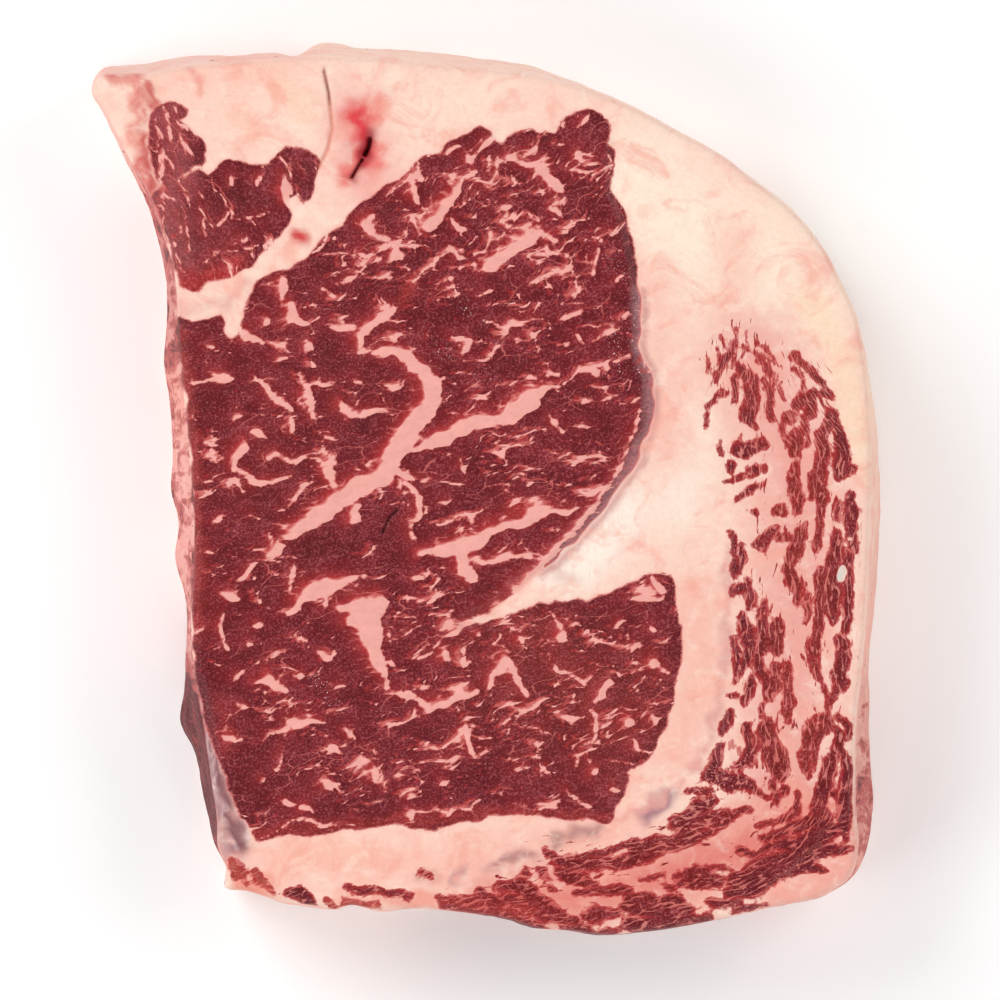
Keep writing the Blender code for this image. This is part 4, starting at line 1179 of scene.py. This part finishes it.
    @staticmethod
    def has_detail(points: np.ndarray) -> np.ndarray:
        """Positive where the muscles and the creases are, negative on the plain fat."""
        depths = [loop_depth(points, smooth_loop(loop, DETAIL_STEP)[:, :2], DETAIL_REACH)
                  for loop in (EYE_MUSCLE, *CORNER_MUSCLE)]
        depths += [half_width - np.abs(route_distance(points, route, reach))
                   for route, half_width, reach in DETAIL_ROUTES]
        return np.max(depths, 0) + DETAIL_MARGIN

    def faces(self, ring: Sequence[int], loop: np.ndarray, inner: np.ndarray, first: int) -> list:
        """Triangles that close a ring through inner points.

        Args:
            ring: Numbers of the ring's points.
            loop: The ring's points.
            inner: The inner points.
            first: Number of the first inner point.

        Returns:
            Triangles that face up, as triples of point numbers.
        """
        count = len(ring)
        flat = [Vector(row) for row in np.concatenate([loop, inner]).tolist()]
        borders = [(i, (i + 1) % count) for i in range(count)]
        _, _, triangles, origins, *_ = delaunay_2d_cdt(flat, borders, [], KEEP_INSIDE, NO_GAP)
        names = list(ring) + list(range(first, first + len(inner)))
        return [tuple(names[origins[corner][0]] for corner in face) for face in triangles]

    def build(self) -> bpy.types.Object:
        """Makes the steak's object, with its tissue and its unwrapped skin."""
        walls, shares, round_edge = self.rings()
        levels, count = walls.shape[:2]
        top_loop, low_loop = walls[-1][:, :2], walls[0][:, :2]
        top_inner = self.upper_points(top_loop)
        low_inner = self.inner_points(low_loop, self.lower_step, LOWER_MARGIN)
        top_first, low_first = levels * count, levels * count + len(top_inner)
        sides, below = walls.reshape(-1, 3), np.zeros(len(low_inner))
        flat = np.concatenate([sides[:, :2], top_inner, low_inner])
        share = np.concatenate([np.repeat(shares, count), np.ones(len(top_inner)), below])
        height = np.concatenate([sides[:, 2], self.top_height(top_inner), below])
        tissue = self.tissue(flat, height, share)
        upper = slice(top_first, low_first)
        relief = self.fine_relief(top_inner, tissue.at(upper))
        height[upper] += relief * ease(loop_depth(top_inner, top_loop, 4.0) / RELIEF_MARGIN)
        quads = [(row * count + i, (row + 1) * count + i, (row + 1) * count + (i + 1) % count,
                  row * count + (i + 1) % count) for row in range(levels - 1) for i in range(count)]
        top = self.faces(range((levels - 1) * count, levels * count), top_loop, top_inner, top_first)
        low = [face[::-1] for face in self.faces(range(count), low_loop, low_inner, low_first)]
        mesh = bpy.data.meshes.new("ribeye_flesh")
        solid = np.column_stack([flat - self.centre, height]) * MM
        mesh.from_pydata(solid.tolist(), [], quads + top + low)
        self.unwrap(mesh, flat, round_edge, levels, count, len(quads), len(top))
        turn, over = self.skin_places(flat, height, share, round_edge, walls, top_loop)
        length = round_edge[-1] + self.edge_step
        drum = np.column_stack([np.cos(turn * 2 * math.pi / length), np.sin(turn * 2 * math.pi / length)])
        skin = np.column_stack([drum * length / (2 * math.pi), over])
        self.note(mesh, tissue, share, skin)
        mesh.shade_smooth()
        steak = bpy.data.objects.new("ribeye_steak_flesh", mesh)
        bpy.context.collection.objects.link(steak)
        return steak

    def tissue(self, flat: np.ndarray, height: np.ndarray, share: np.ndarray) -> Tissue:
        """Tissue of every point: the wall's, run into that of the two cut faces at its edges."""
        everywhere = self.wall.read(flat, height)
        top_share = ease((share - TOP_RUN[0]) / TOP_RUN[1])
        low_share = ease((LOW_RUN[0] - share) / LOW_RUN[1])
        for face, part in ((self.upper, top_share), (self.lower, low_share)):
            rows = np.flatnonzero(part > 0)
            seen = face.read(flat[rows])
            for name, values in vars(everywhere.at(rows).blend(seen, part[rows])).items():
                getattr(everywhere, name)[rows] = values
        return everywhere

    def skin_places(self, flat: np.ndarray, height: np.ndarray, share: np.ndarray,
                    round_edge: np.ndarray, walls: np.ndarray,
                    top_loop: np.ndarray) -> tuple[np.ndarray, np.ndarray]:
        """Coordinates that run round the edge and over it.

        Args:
            flat: Rows of x, y of all points.
            height: Their heights.
            share: Their shares of the height.
            round_edge: Distance round the edge of each place of a ring.
            walls: Points of the side wall.
            top_loop: Edge of the upper face.

        Returns:
            The distances round the edge, and those up the wall and on over the upper face.
        """
        levels, count = walls.shape[:2]
        turn = np.tile(round_edge, levels)
        over = height[:levels * count].copy()
        inner = flat[levels * count:]
        nearest = np.empty(len(inner), dtype=int)
        gap = np.empty(len(inner))
        for begin in range(0, len(inner), BLOCK):
            block = slice(begin, begin + BLOCK)
            distance = np.linalg.norm(inner[block, None, :] - top_loop[None, ::2], axis=2)
            nearest[block] = distance.argmin(axis=1) * 2
            gap[block] = distance.min(axis=1)
        upper = share[levels * count:] > 0.5
        turn = np.concatenate([turn, round_edge[nearest]])
        over = np.concatenate([over, np.where(upper, self.thickness + gap, -gap)])
        return turn, over

    def unwrap(self, mesh: bpy.types.Mesh, flat: np.ndarray, round_edge: np.ndarray, levels: int,
               count: int, quads: int, tops: int) -> None:
        """Lays the skin out flat: the upper face large, the underside and the wall beside it.

        Args:
            mesh: The steak's mesh, whose faces are the wall's, the upper face's, the underside's.
            flat: Rows of x, y of all points.
            round_edge: Distance round the edge of each place of a ring.
            levels: Rows of points up the wall.
            count: Points round the edge.
            quads: Number of the wall's faces.
            tops: Number of the upper face's faces.
        """
        corner = flat - flat.min(axis=0)
        upper = corner * UPPER_SCALE + BORDER
        lower = corner * LOWER_SCALE + (LOWER_LEFT, BORDER)
        ends = np.append(round_edge, round_edge[-1] + self.edge_step)
        strip = []
        for row in range(levels - 1):
            for i in range(count):
                half = int(i >= count // 2)
                left, right = BORDER + WALL_SCALE * (ends[i:i + 2] - half * ends[count // 2])
                floor = WALL_FLOOR + WALL_GAP * half
                below, above = (floor + WALL_RISE * level / (levels - 1) for level in (row, row + 1))
                strip += [(left, below), (left, above), (right, above), (right, below)]
        corners = np.empty(len(mesh.loops), dtype=np.int32)
        mesh.loops.foreach_get("vertex_index", corners)
        wall_end, top_end = quads * 4, quads * 4 + tops * 3
        places = np.concatenate([
            np.array(strip), upper[corners[wall_end:top_end]], lower[corners[top_end:]]])
        layer = mesh.uv_layers.new(name="OFBake")
        layer.data.foreach_set("uv", places.astype(np.float32).ravel())

    @staticmethod
    def note(mesh: bpy.types.Mesh, tissue: Tissue, share: np.ndarray, skin: np.ndarray) -> None:
        """Writes the tissue into the mesh's attributes, where the finish reads it."""
        wall = ease((share - WALL_FROM) / WALL_FADE) * (1.0 - ease((share - WALL_TO) / WALL_FADE))
        vectors = {
            "tissue": np.column_stack([tissue.lean, tissue.vein, tissue.bundle]),
            "detail": np.column_stack([tissue.glow, tissue.marbling, tissue.glint_share]),
            "region": np.column_stack([wall, tissue.cap, tissue.smooth]),
            "grain": tissue.grain, "skin": skin}
        for name, values in vectors.items():
            layer = mesh.attributes.new(name, "FLOAT_VECTOR", "POINT")
            layer.data.foreach_set("vector", values.astype(np.float32).ravel())
        for name, values in (("fat_tone", tissue.fat_tone), ("lean_tone", tissue.lean_tone)):
            layer = mesh.attributes.new(name, "FLOAT_COLOR", "POINT")
            full = np.column_stack([values, np.ones(len(values))])
            layer.data.foreach_set("color", full.astype(np.float32).ravel())


class Wire:
    """A node's output, which takes part in sums so that shader maths reads as maths."""

    def __init__(self, bench: "NodeBench", socket: bpy.types.NodeSocket) -> None:
        """Wraps a socket of a bench's node tree."""
        self.bench = bench
        self.socket = socket

    def __add__(self, other: "Value") -> "Wire":
        """Sum."""
        return self.bench.maths("ADD", self, other)

    __radd__ = __add__

    def __sub__(self, other: "Value") -> "Wire":
        """Difference."""
        return self.bench.maths("SUBTRACT", self, other)

    def __rsub__(self, other: "Value") -> "Wire":
        """Difference from a number."""
        return self.bench.maths("SUBTRACT", other, self)

    def __mul__(self, other: "Value") -> "Wire":
        """Product."""
        return self.bench.maths("MULTIPLY", self, other)

    __rmul__ = __mul__

    def __truediv__(self, other: "Value") -> "Wire":
        """Quotient."""
        return self.bench.maths("DIVIDE", self, other)

    def __abs__(self) -> "Wire":
        """Size without its sign."""
        return self.bench.maths("ABSOLUTE", self)


Value = Union[Wire, float]


@dataclass(frozen=True)
class Pattern:
    """A pattern of noise.

    Attributes:
        sizes: Sizes of its features along the three directions, in millimetres.
        detail: Number of its finer layers.
        rough: Strength of the finer layers.
        twist: How far the pattern bends itself.
    """

    sizes: Triple
    detail: float = 2.0
    rough: float = 0.5
    twist: float = 0.0


@dataclass
class NodeBench:
    """Adds nodes to one material's tree."""

    tree: bpy.types.NodeTree

    def node(self, kind: str, settings: dict, inputs: dict, output: Union[int, str] = 0) -> Wire:
        """Adds a node.

        Args:
            kind: Type of the node.
            settings: Properties, set before anything is linked.
            inputs: Values or wires of its sockets, by name or number.
            output: Name or number of the output that is wanted.

        Returns:
            The output.
        """
        made = self.tree.nodes.new(kind)
        for name, value in settings.items():
            setattr(made, name, value)
        for name, value in inputs.items():
            if isinstance(value, Wire):
                self.tree.links.new(value.socket, made.inputs[name])
            else:
                made.inputs[name].default_value = value
        return Wire(self, made.outputs[output])

    def maths(self, operation: str, *values: Value) -> Wire:
        """One sum of a shader expression."""
        return self.node("ShaderNodeMath", {"operation": operation}, dict(enumerate(values)))

    def larger(self, first: Value, second: Value) -> Wire:
        """The larger of two values."""
        return self.maths("MAXIMUM", first, second)

    def step(self, value: Value, low: Value, high: Value) -> Wire:
        """Eases from 0 to 1 as the value goes from low to high."""
        return self.node("ShaderNodeMapRange", {"interpolation_type": "SMOOTHSTEP"},
                         {"Value": value, "From Min": low, "From Max": high})

    def noted(self, name: str, output: str = "Vector") -> Wire:
        """Reads one of the mesh's attributes."""
        return self.node("ShaderNodeAttribute", {"attribute_name": name}, {}, output)

    def parts(self, vector: Wire) -> tuple[Wire, Wire, Wire]:
        """The three parts of a vector."""
        return tuple(self.node("ShaderNodeSeparateXYZ", {}, {0: vector}, i) for i in range(3))

    def stretched(self, vector: Wire, sizes: Triple) -> Wire:
        """Coordinates counted in features of the given sizes along their three directions."""
        return self.node("ShaderNodeVectorMath", {"operation": "MULTIPLY"},
                         {0: vector, 1: tuple(1.0 / size for size in sizes)})

    def shifted(self, vector: Wire, by: Union[Wire, Triple], scale: float = 1.0) -> Wire:
        """Coordinates moved by a vector, or by a scaled wire."""
        return self.node("ShaderNodeVectorMath", {"operation": "MULTIPLY_ADD"},
                         {0: by, 1: (scale, scale, scale), 2: vector})

    def noise(self, vector: Wire, pattern: Pattern) -> Wire:
        """A pattern of noise about 0, between about -0.5 and 0.5."""
        return self.node("ShaderNodeTexNoise", {}, {
            "Vector": self.stretched(vector, pattern.sizes), "Scale": 1.0, "Detail": pattern.detail,
            "Roughness": pattern.rough, "Distortion": pattern.twist}) - 0.5

    def cells(self, vector: Wire, measure: Cells = Cells.MIDDLE) -> Wire:
        """Distance from the middle, or the border, of the cell that each place lies in."""
        return self.node("ShaderNodeTexVoronoi", {"voronoi_dimensions": "2D", "feature": measure.value},
                         {"Vector": vector, "Scale": 1.0}, "Distance")

    def mix(self, share: Value, first: Union[Wire, tuple], second: Union[Wire, tuple]) -> Wire:
        """Mixes two colours."""
        return self.node("ShaderNodeMix", {"data_type": "RGBA"},
                         {0: share, 6: self.opaque(first), 7: self.opaque(second)}, 2)

    @staticmethod
    def opaque(colour: Union[Wire, Sequence[float]]) -> Union[Wire, tuple]:
        """A colour with its alpha, or the wire as it is."""
        return colour if isinstance(colour, Wire) else (*colour[:3], 1.0)

    def brighten(self, colour: Wire, factor: Value) -> Wire:
        """A vector or a colour times a value."""
        return self.node("ShaderNodeVectorMath", {"operation": "SCALE"}, {0: colour, "Scale": factor})


# Patterns along the grain of the flesh, across it and from one seed to the next
TEARS = Pattern((1.9, 0.50, 1.0), 2.5, 0.55)
BANDS = Pattern((4.2, 1.25, 1.0))
STRANDS = Pattern((2.8, 0.60, 1.0), 2.5, 0.6, 0.5)
FLECK_TEARS = Pattern((1.5, 0.7, 1.0), 2.5, 0.6)
HAIR_PATCHES = Pattern((9.0, 6.0, 1.0), 1.0)
FIBRES = Pattern((2.0, 0.55, 1.0), 3.0, 0.62)
FIBRE_RELIEF = Pattern((1.6, 0.38, 1.0), 2.0, 0.6)

# Patterns in space
RAGS = Pattern((1.5, 1.5, 1.5), 3.0, 0.6)
LEAN_CLOUDS = Pattern((5.0, 4.0, 5.0), 3.5, 0.60)
SPECKS = Pattern((0.40, 0.40, 0.40), 1.5, 0.6)
# Specks of the painted glints of moisture
PAINTED_GLINT_SPECKS = Pattern((0.33, 0.33, 0.33), 1.0, 0.6)
FAT_CLOUDS = Pattern((9.0, 8.0, 8.0), 5.0, 0.66, 1.0)
FAT_PUFFS = Pattern((5.0, 4.0, 4.0), 4.0, 0.66, 0.6)
FAT_GRIT = Pattern((0.9, 0.9, 0.9), 3.0, 0.65)
SEAM_GRAIN = Pattern((2.2, 1.5, 1.5), 2.0, 0.6)
SHEEN_GRIT = Pattern((0.9, 0.9, 0.9), 1.0)
GRIT_RELIEF = Pattern((0.7, 0.7, 0.7), 2.0, 0.6)

# Patterns on the skin, round the edge and up the wall
WALL_STREAKS = Pattern((3.0, 3.0, 13.0), 4.0, 0.62, 0.6)
FAT_THREADS = Pattern((15.0, 15.0, 1.7), 4.0, 0.62, 1.4)

# Cells along the grain: bundles of lean with fat where they meet, spindles of the cap, fine hairs
LARGE_CELLS: Triple = (4.6, 2.1, 1.0)
SMALL_CELLS: Triple = (2.2, 0.92, 1.0)
SPINDLES: Triple = (3.3, 0.90, 1.0)
HAIR_CELLS: Triple = (6.5, 2.2, 1.0)

# How far east the marbling is read, for the red that shows through beside it
GLOW_ASIDE = 1.1


@dataclass(frozen=True)
class RawBeef:
    """Moist raw beef: wine-red lean with fine fibres, and pale fat in seams, flecks and specks.

    Attributes:
        glow_tone: Bright red of thin lean over fat.
        speck_tone: Pink of the fine fibres between the muscle's threads.
        painted_glint_tone: Pale tone of the glints of moisture, painted highlights in the lean's colour.
        rim_tone: Crimson where lean thins out over fat.
        pink_fat: Tone that the fat's pink clouds pull it to.
        cream_fat: Tone that its pale clouds pull it to.
        wetness: Coat of moisture.
        film_roughness: Roughness of that coat.
        shine: Reflection of the flesh itself.
        bump_strength: Strength of the fine bumps.
        bump_height: Height of the fine bumps, in metres.
    """

    glow_tone: Tone = (184, 50, 50)
    speck_tone: Tone = (191, 108, 116)
    painted_glint_tone: Tone = (250, 226, 224)
    rim_tone: Tone = (206, 76, 74)
    pink_fat: Tone = (246, 168, 150)
    cream_fat: Tone = (255, 232, 215)
    wetness: float = 0.04
    film_roughness: float = 0.22
    shine: float = 0.2
    bump_strength: float = 0.55
    bump_height: float = 0.00028

    def dress(self, steak: bpy.types.Object) -> None:
        """Puts the flesh on the steak."""
        material = bpy.data.materials.new("raw_beef")
        material.use_nodes = True
        steak.data.materials.append(material)
        bench = NodeBench(material.node_tree)
        place = bench.brighten(bench.node("ShaderNodeTexCoord", {}, {}, "Object"), 1.0 / MM)
        east = self.flecks(bench, GLOW_ASIDE)
        lean = self.lean_share(bench, place, east)
        colour = bench.mix(lean, self.fat_colour(bench, place), self.lean_colour(bench, place, east))
        colour = bench.mix(2.2 * lean * (1.0 - lean), colour, screen_tone(self.rim_tone))
        wall, _, _ = bench.parts(bench.noted("region"))
        links = {
            "Base Color": colour, "Normal": self.relief(bench, place),
            "Roughness": 0.44 - 0.08 * lean + 0.16 * bench.noise(place, SHEEN_GRIT) + 0.22 * wall,
            "Coat Weight": self.wetness * (1.0 - wall)}
        shader = material.node_tree.nodes["Principled BSDF"]
        for name, wire in links.items():
            material.node_tree.links.new(wire.socket, shader.inputs[name])
        shader.inputs["Coat Roughness"].default_value = self.film_roughness
        shader.inputs["Specular IOR Level"].default_value = self.shine

    def lean_share(self, bench: NodeBench, place: Wire, east: Wire) -> Wire:
        """Where the flesh is lean and not fat.

        Args:
            bench: The material's bench.
            place: Coordinates in millimetres.
            east: Field of the fine marbling a little further east.

        Returns:
            The share of lean.
        """
        lean, vein, bundle = bench.parts(bench.noted("tissue"))
        wall, cap, smooth = bench.parts(bench.noted("region"))
        grain = bench.noted("grain")
        torn, broad = bench.noise(grain, TEARS), bench.noise(grain, BANDS)
        ragged = bench.noise(place, RAGS)
        streak = bench.noise(bench.noted("skin"), WALL_STREAKS)
        muscle = bench.step(lean + (1.0 - smooth) * (ragged + 0.5 * torn) + wall * (5.0 * streak),
                            -0.24 - 0.45 * wall, 0.25 + 0.45 * wall)
        in_muscle = muscle * (1.0 - self.marbling(bench, vein, east, torn))
        web = bench.cells(bench.shifted(bench.stretched(grain, SPINDLES), ragged, 0.45), Cells.BORDER)
        split = bench.step(web + 0.6 * broad - 0.95 * bench.noise(grain, STRANDS), -0.04, 0.08)
        bundles = bench.step(bundle + 0.7 * torn + 0.9 * broad + 1.5 * ragged, -0.18, 0.24)
        wisps = bench.step(broad + 0.6 * torn + 0.05 * bundle, 0.10, 0.17) * cap
        crumb = bench.step(vein + 0.8 * ragged, -0.1, 0.2)
        in_cap = bench.larger(bundles, wisps) * (0.46 + 0.54 * split) * (1.0 - crumb)
        return bench.larger(in_muscle, in_cap)

    def flecks(self, bench: NodeBench, aside: float = 0.0, vein: Optional[Wire] = None) -> Wire:
        """Field of the marbling, which fills the gaps where the bundles of lean meet.

        Args:
            bench: The material's bench.
            aside: How far east of each place the field is read.
            vein: Depth inside a seam or a drawn fleck, if these belong to the field.

        Returns:
            The field, with fat where it is above 0.
        """
        _, gain, _ = bench.parts(bench.noted("detail"))
        grain = bench.shifted(bench.noted("grain"), (aside, -0.5 * aside, 0.0))
        torn = bench.noise(grain, FLECK_TEARS)
        large, small = (bench.cells(bench.stretched(grain, sizes)) for sizes in (LARGE_CELLS, SMALL_CELLS))
        found = bench.larger(large + 0.75 * torn - 0.81, 0.7 * small + 0.5 * torn - 0.605) + gain
        if vein is None:
            return found
        return bench.larger(found, 0.62 * vein + 0.40 * large + 0.30 * small + 0.45 * torn - 0.37)

    def marbling(self, bench: NodeBench, vein: Wire, east: Wire, torn: Wire) -> Wire:
        """Share of marbling, crisp on one side of a fleck and soft on the other.

        Args:
            bench: The material's bench.
            vein: Depth inside a seam or a drawn fleck.
            east: Field of the fine marbling a little further east.
            torn: Noise that frays the hairs.

        Returns:
            The share of marbling.
        """
        glow, _, _ = bench.parts(bench.noted("detail"))
        grain = bench.noted("grain")
        here = self.flecks(bench, vein=vein)
        soft = bench.step(east, -0.10, 0.14) * bench.step(here, -0.26, 0.0)
        web = bench.cells(bench.shifted(bench.stretched(grain, HAIR_CELLS), torn, 0.22), Cells.BORDER)
        patches = bench.step(bench.noise(grain, HAIR_PATCHES), 0.04, 0.16)
        hairs = 0.40 * bench.step(web, 0.034, 0.0) * patches
        crisp = bench.step(here + 0.12 * torn, -0.03 - 0.34 * glow, 0.06)
        return bench.larger(bench.larger(crisp, 0.65 * soft), hairs)

    def lean_colour(self, bench: NodeBench, place: Wire, east: Wire) -> Wire:
        """Colour of the lean, with its fibres, threads, red glow and painted glints of moisture.

        Args:
            bench: The material's bench.
            place: Coordinates in millimetres.
            east: Field of the fine marbling a little further east.

        Returns:
            The colour.
        """
        glow, _, glint_share = bench.parts(bench.noted("detail"))
        _, _, bundle = bench.parts(bench.noted("tissue"))
        clouds, specks = bench.noise(place, LEAN_CLOUDS), bench.noise(place, SPECKS)
        fibres = bench.noise(bench.noted("grain"), FIBRES)
        dark = bench.step(clouds + 0.6 * fibres, -0.14, 0.16)
        tone = bench.brighten(bench.noted("lean_tone", "Color"),
                              0.585 + 0.20 * dark + 0.20 * fibres + 0.72 * specks)
        rim = bench.step(bundle, -1.2, -0.3) * bench.step(bundle + 0.8 * fibres, 0.75, 0.15)
        thin_lean = bench.step(clouds, 0.06, 0.26)
        beside = bench.step(east, -0.17, 0.05)
        red = bench.larger(bench.larger(0.14 * thin_lean, 0.62 * rim),
                           bench.larger(glow * (1.05 + 0.4 * fibres), 0.58 * beside))
        tone = bench.mix(red, tone, screen_tone(self.glow_tone))
        pale = bench.step(specks + 0.22 * fibres + 0.30 * clouds, -0.04, 0.26)
        tone = bench.mix(0.40 * pale, tone, screen_tone(self.speck_tone))
        # Painted highlights: pale specks where glints of moisture would catch the light
        painted_glints = bench.step(bench.noise(place, PAINTED_GLINT_SPECKS), 0.16, 0.24)
        return bench.mix(glint_share * painted_glints, tone, screen_tone(self.painted_glint_tone))

    def fat_colour(self, bench: NodeBench, place: Wire) -> Wire:
        """Colour of the fat, with cream and pink clouds, threads and grain.

        Args:
            bench: The material's bench.
            place: Coordinates in millimetres.

        Returns:
            The colour.
        """
        tone = bench.noted("fat_tone", "Color")
        lean, _, _ = bench.parts(bench.noted("tissue"))
        _, green, _ = bench.parts(tone)
        thread = bench.step(abs(bench.noise(bench.noted("skin"), FAT_THREADS)), 0.020, 0.0)
        open_fat = bench.step(lean, 1.0, -0.8)
        clean = bench.step(green, 0.06, 0.32)
        cream = 0.42 * bench.step(bench.noise(place, FAT_PUFFS), 0.0, 0.20) * open_fat * clean
        tone = bench.mix(cream, tone, screen_tone(self.cream_fat))
        clouds = bench.step(bench.noise(place, FAT_CLOUDS), -0.04, 0.20)
        pinker = bench.larger(0.22 * thread, 0.66 * clouds) * clean * (0.25 + 0.75 * open_fat)
        tone = bench.mix(pinker, tone, screen_tone(self.pink_fat))
        seam = (1.0 - open_fat) * (0.26 * bench.noise(place, SEAM_GRAIN))
        return bench.brighten(tone, 0.995 + 0.19 * bench.noise(place, FAT_GRIT) + seam)

    def relief(self, bench: NodeBench, place: Wire) -> Wire:
        """Fine bumps: grain of the lean and grit of the fat."""
        lean, _, bundle = bench.parts(bench.noted("tissue"))
        fleshy = bench.step(bench.larger(lean, bundle), -0.3, 0.3)
        fibres = bench.noise(bench.noted("grain"), FIBRE_RELIEF)
        height = 0.5 * bench.noise(place, GRIT_RELIEF) + fleshy * (0.4 + 0.8 * fibres)
        return bench.node("ShaderNodeBump", {}, {
            "Height": height, "Strength": self.bump_strength, "Distance": self.bump_height}, "Normal")


@dataclass(frozen=True)
class PaleFloor:
    """Plain pale studio floor.

    Attributes:
        size: Length of its side, in metres.
        tone: Its colour on a screen.
        lift: Light that it gives off, which keeps it near white.
        gap: Gap under the steak, in metres.
    """

    size: float = 4.0
    tone: Tone = (250, 250, 250)
    lift: float = 0.10
    gap: float = 0.0002

    def build(self) -> bpy.types.Object:
        """Makes the floor, just below the steak."""
        half = self.size / 2
        mesh = bpy.data.meshes.new("studio_floor")
        corners = [(-half, -half, 0), (half, -half, 0), (half, half, 0), (-half, half, 0)]
        mesh.from_pydata(corners, [], [(0, 1, 2, 3)])
        floor = bpy.data.objects.new("studio_floor", mesh)
        floor.location.z = -self.gap
        bpy.context.collection.objects.link(floor)
        material = bpy.data.materials.new("pale_floor")
        material.use_nodes = True
        shader = material.node_tree.nodes["Principled BSDF"]
        shader.inputs["Base Color"].default_value = (*screen_tone(self.tone), 1.0)
        shader.inputs["Roughness"].default_value = 0.8
        shader.inputs["Emission Color"].default_value = (1.0, 1.0, 1.0, 1.0)
        shader.inputs["Emission Strength"].default_value = self.lift
        mesh.materials.append(material)
        return floor


@dataclass(frozen=True)
class SoftBox:
    """A square studio light.

    Attributes:
        name: What it is for.
        place: Where it hangs, in metres.
        size: Length of its side, in metres.
        power: Its power, in watts.
    """

    name: str
    place: tuple[float, float, float]
    size: float
    power: float

    def build(self) -> None:
        """Hangs the light and turns it to the steak."""
        data = bpy.data.lights.new(self.name, "AREA")
        data.shape, data.size, data.energy = "SQUARE", self.size, self.power
        lamp = bpy.data.objects.new(self.name, data)
        lamp.location = self.place
        lamp.rotation_euler = Vector(self.place).to_track_quat("Z", "Y").to_euler()
        bpy.context.collection.objects.link(lamp)


@dataclass
class Studio:
    """Floor, soft light and the camera straight above the steak.

    Attributes:
        aim: Point of the cut face that the view is centred on.
        top: Height of the cut face.
        stand_off: Distance of the camera from the cut face.
        view_width: Width of the cut face's plane that the photograph takes in.
        daylight: Strength of the light from all round.
        boxes: The soft lights.
    """

    aim: tuple[float, float] = (2.46, -2.18)
    top: float = 32.0
    stand_off: float = 2200.0
    view_width: float = 185.0
    daylight: float = 0.25
    boxes: tuple[SoftBox, ...] = (
        SoftBox("key_light", (-0.85, 0.75, 1.05), 0.9, 11.0),
        SoftBox("right_light", (1.05, 0.35, 0.95), 1.0, 7.5),
        SoftBox("front_light", (0.15, -1.15, 0.95), 1.0, 6.8),
        SoftBox("left_light", (-1.15, -0.45, 0.85), 0.8, 5.6),
    )

    def build(self) -> None:
        """Sets up the floor, the lights and the camera."""
        PaleFloor().build()
        for box in self.boxes:
            box.build()
        world = bpy.data.worlds.new("studio_daylight")
        world.use_nodes = True
        background = world.node_tree.nodes["Background"]
        background.inputs["Color"].default_value = (1.0, 1.0, 1.0, 1.0)
        background.inputs["Strength"].default_value = self.daylight
        scene = bpy.context.scene
        scene.world = world
        scene.view_settings.view_transform = "Standard"
        lens = bpy.data.cameras.new("overhead_camera")
        lens.sensor_width = 36.0
        lens.lens = lens.sensor_width * self.stand_off / self.view_width
        lens.clip_end = 50.0
        camera = bpy.data.objects.new("overhead_camera", lens)
        camera.location = (self.aim[0] * MM, self.aim[1] * MM, (self.top + self.stand_off) * MM)
        bpy.context.collection.objects.link(camera)
        scene.camera = camera


def main() -> None:
    """Builds the steak and the studio, and reports each piece."""
    logging.basicConfig(level=logging.INFO, format="%(name)s: %(message)s")
    steak = RibeyeSlice().build()
    RawBeef().dress(steak)
    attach(steak, "root")
    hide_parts("ribeye_steak")
    LOG.info("%s: %d faces", steak.name, len(steak.data.polygons))
    Studio().build()
    LOG.info("studio ready")


if __name__ == "__main__":
    main()
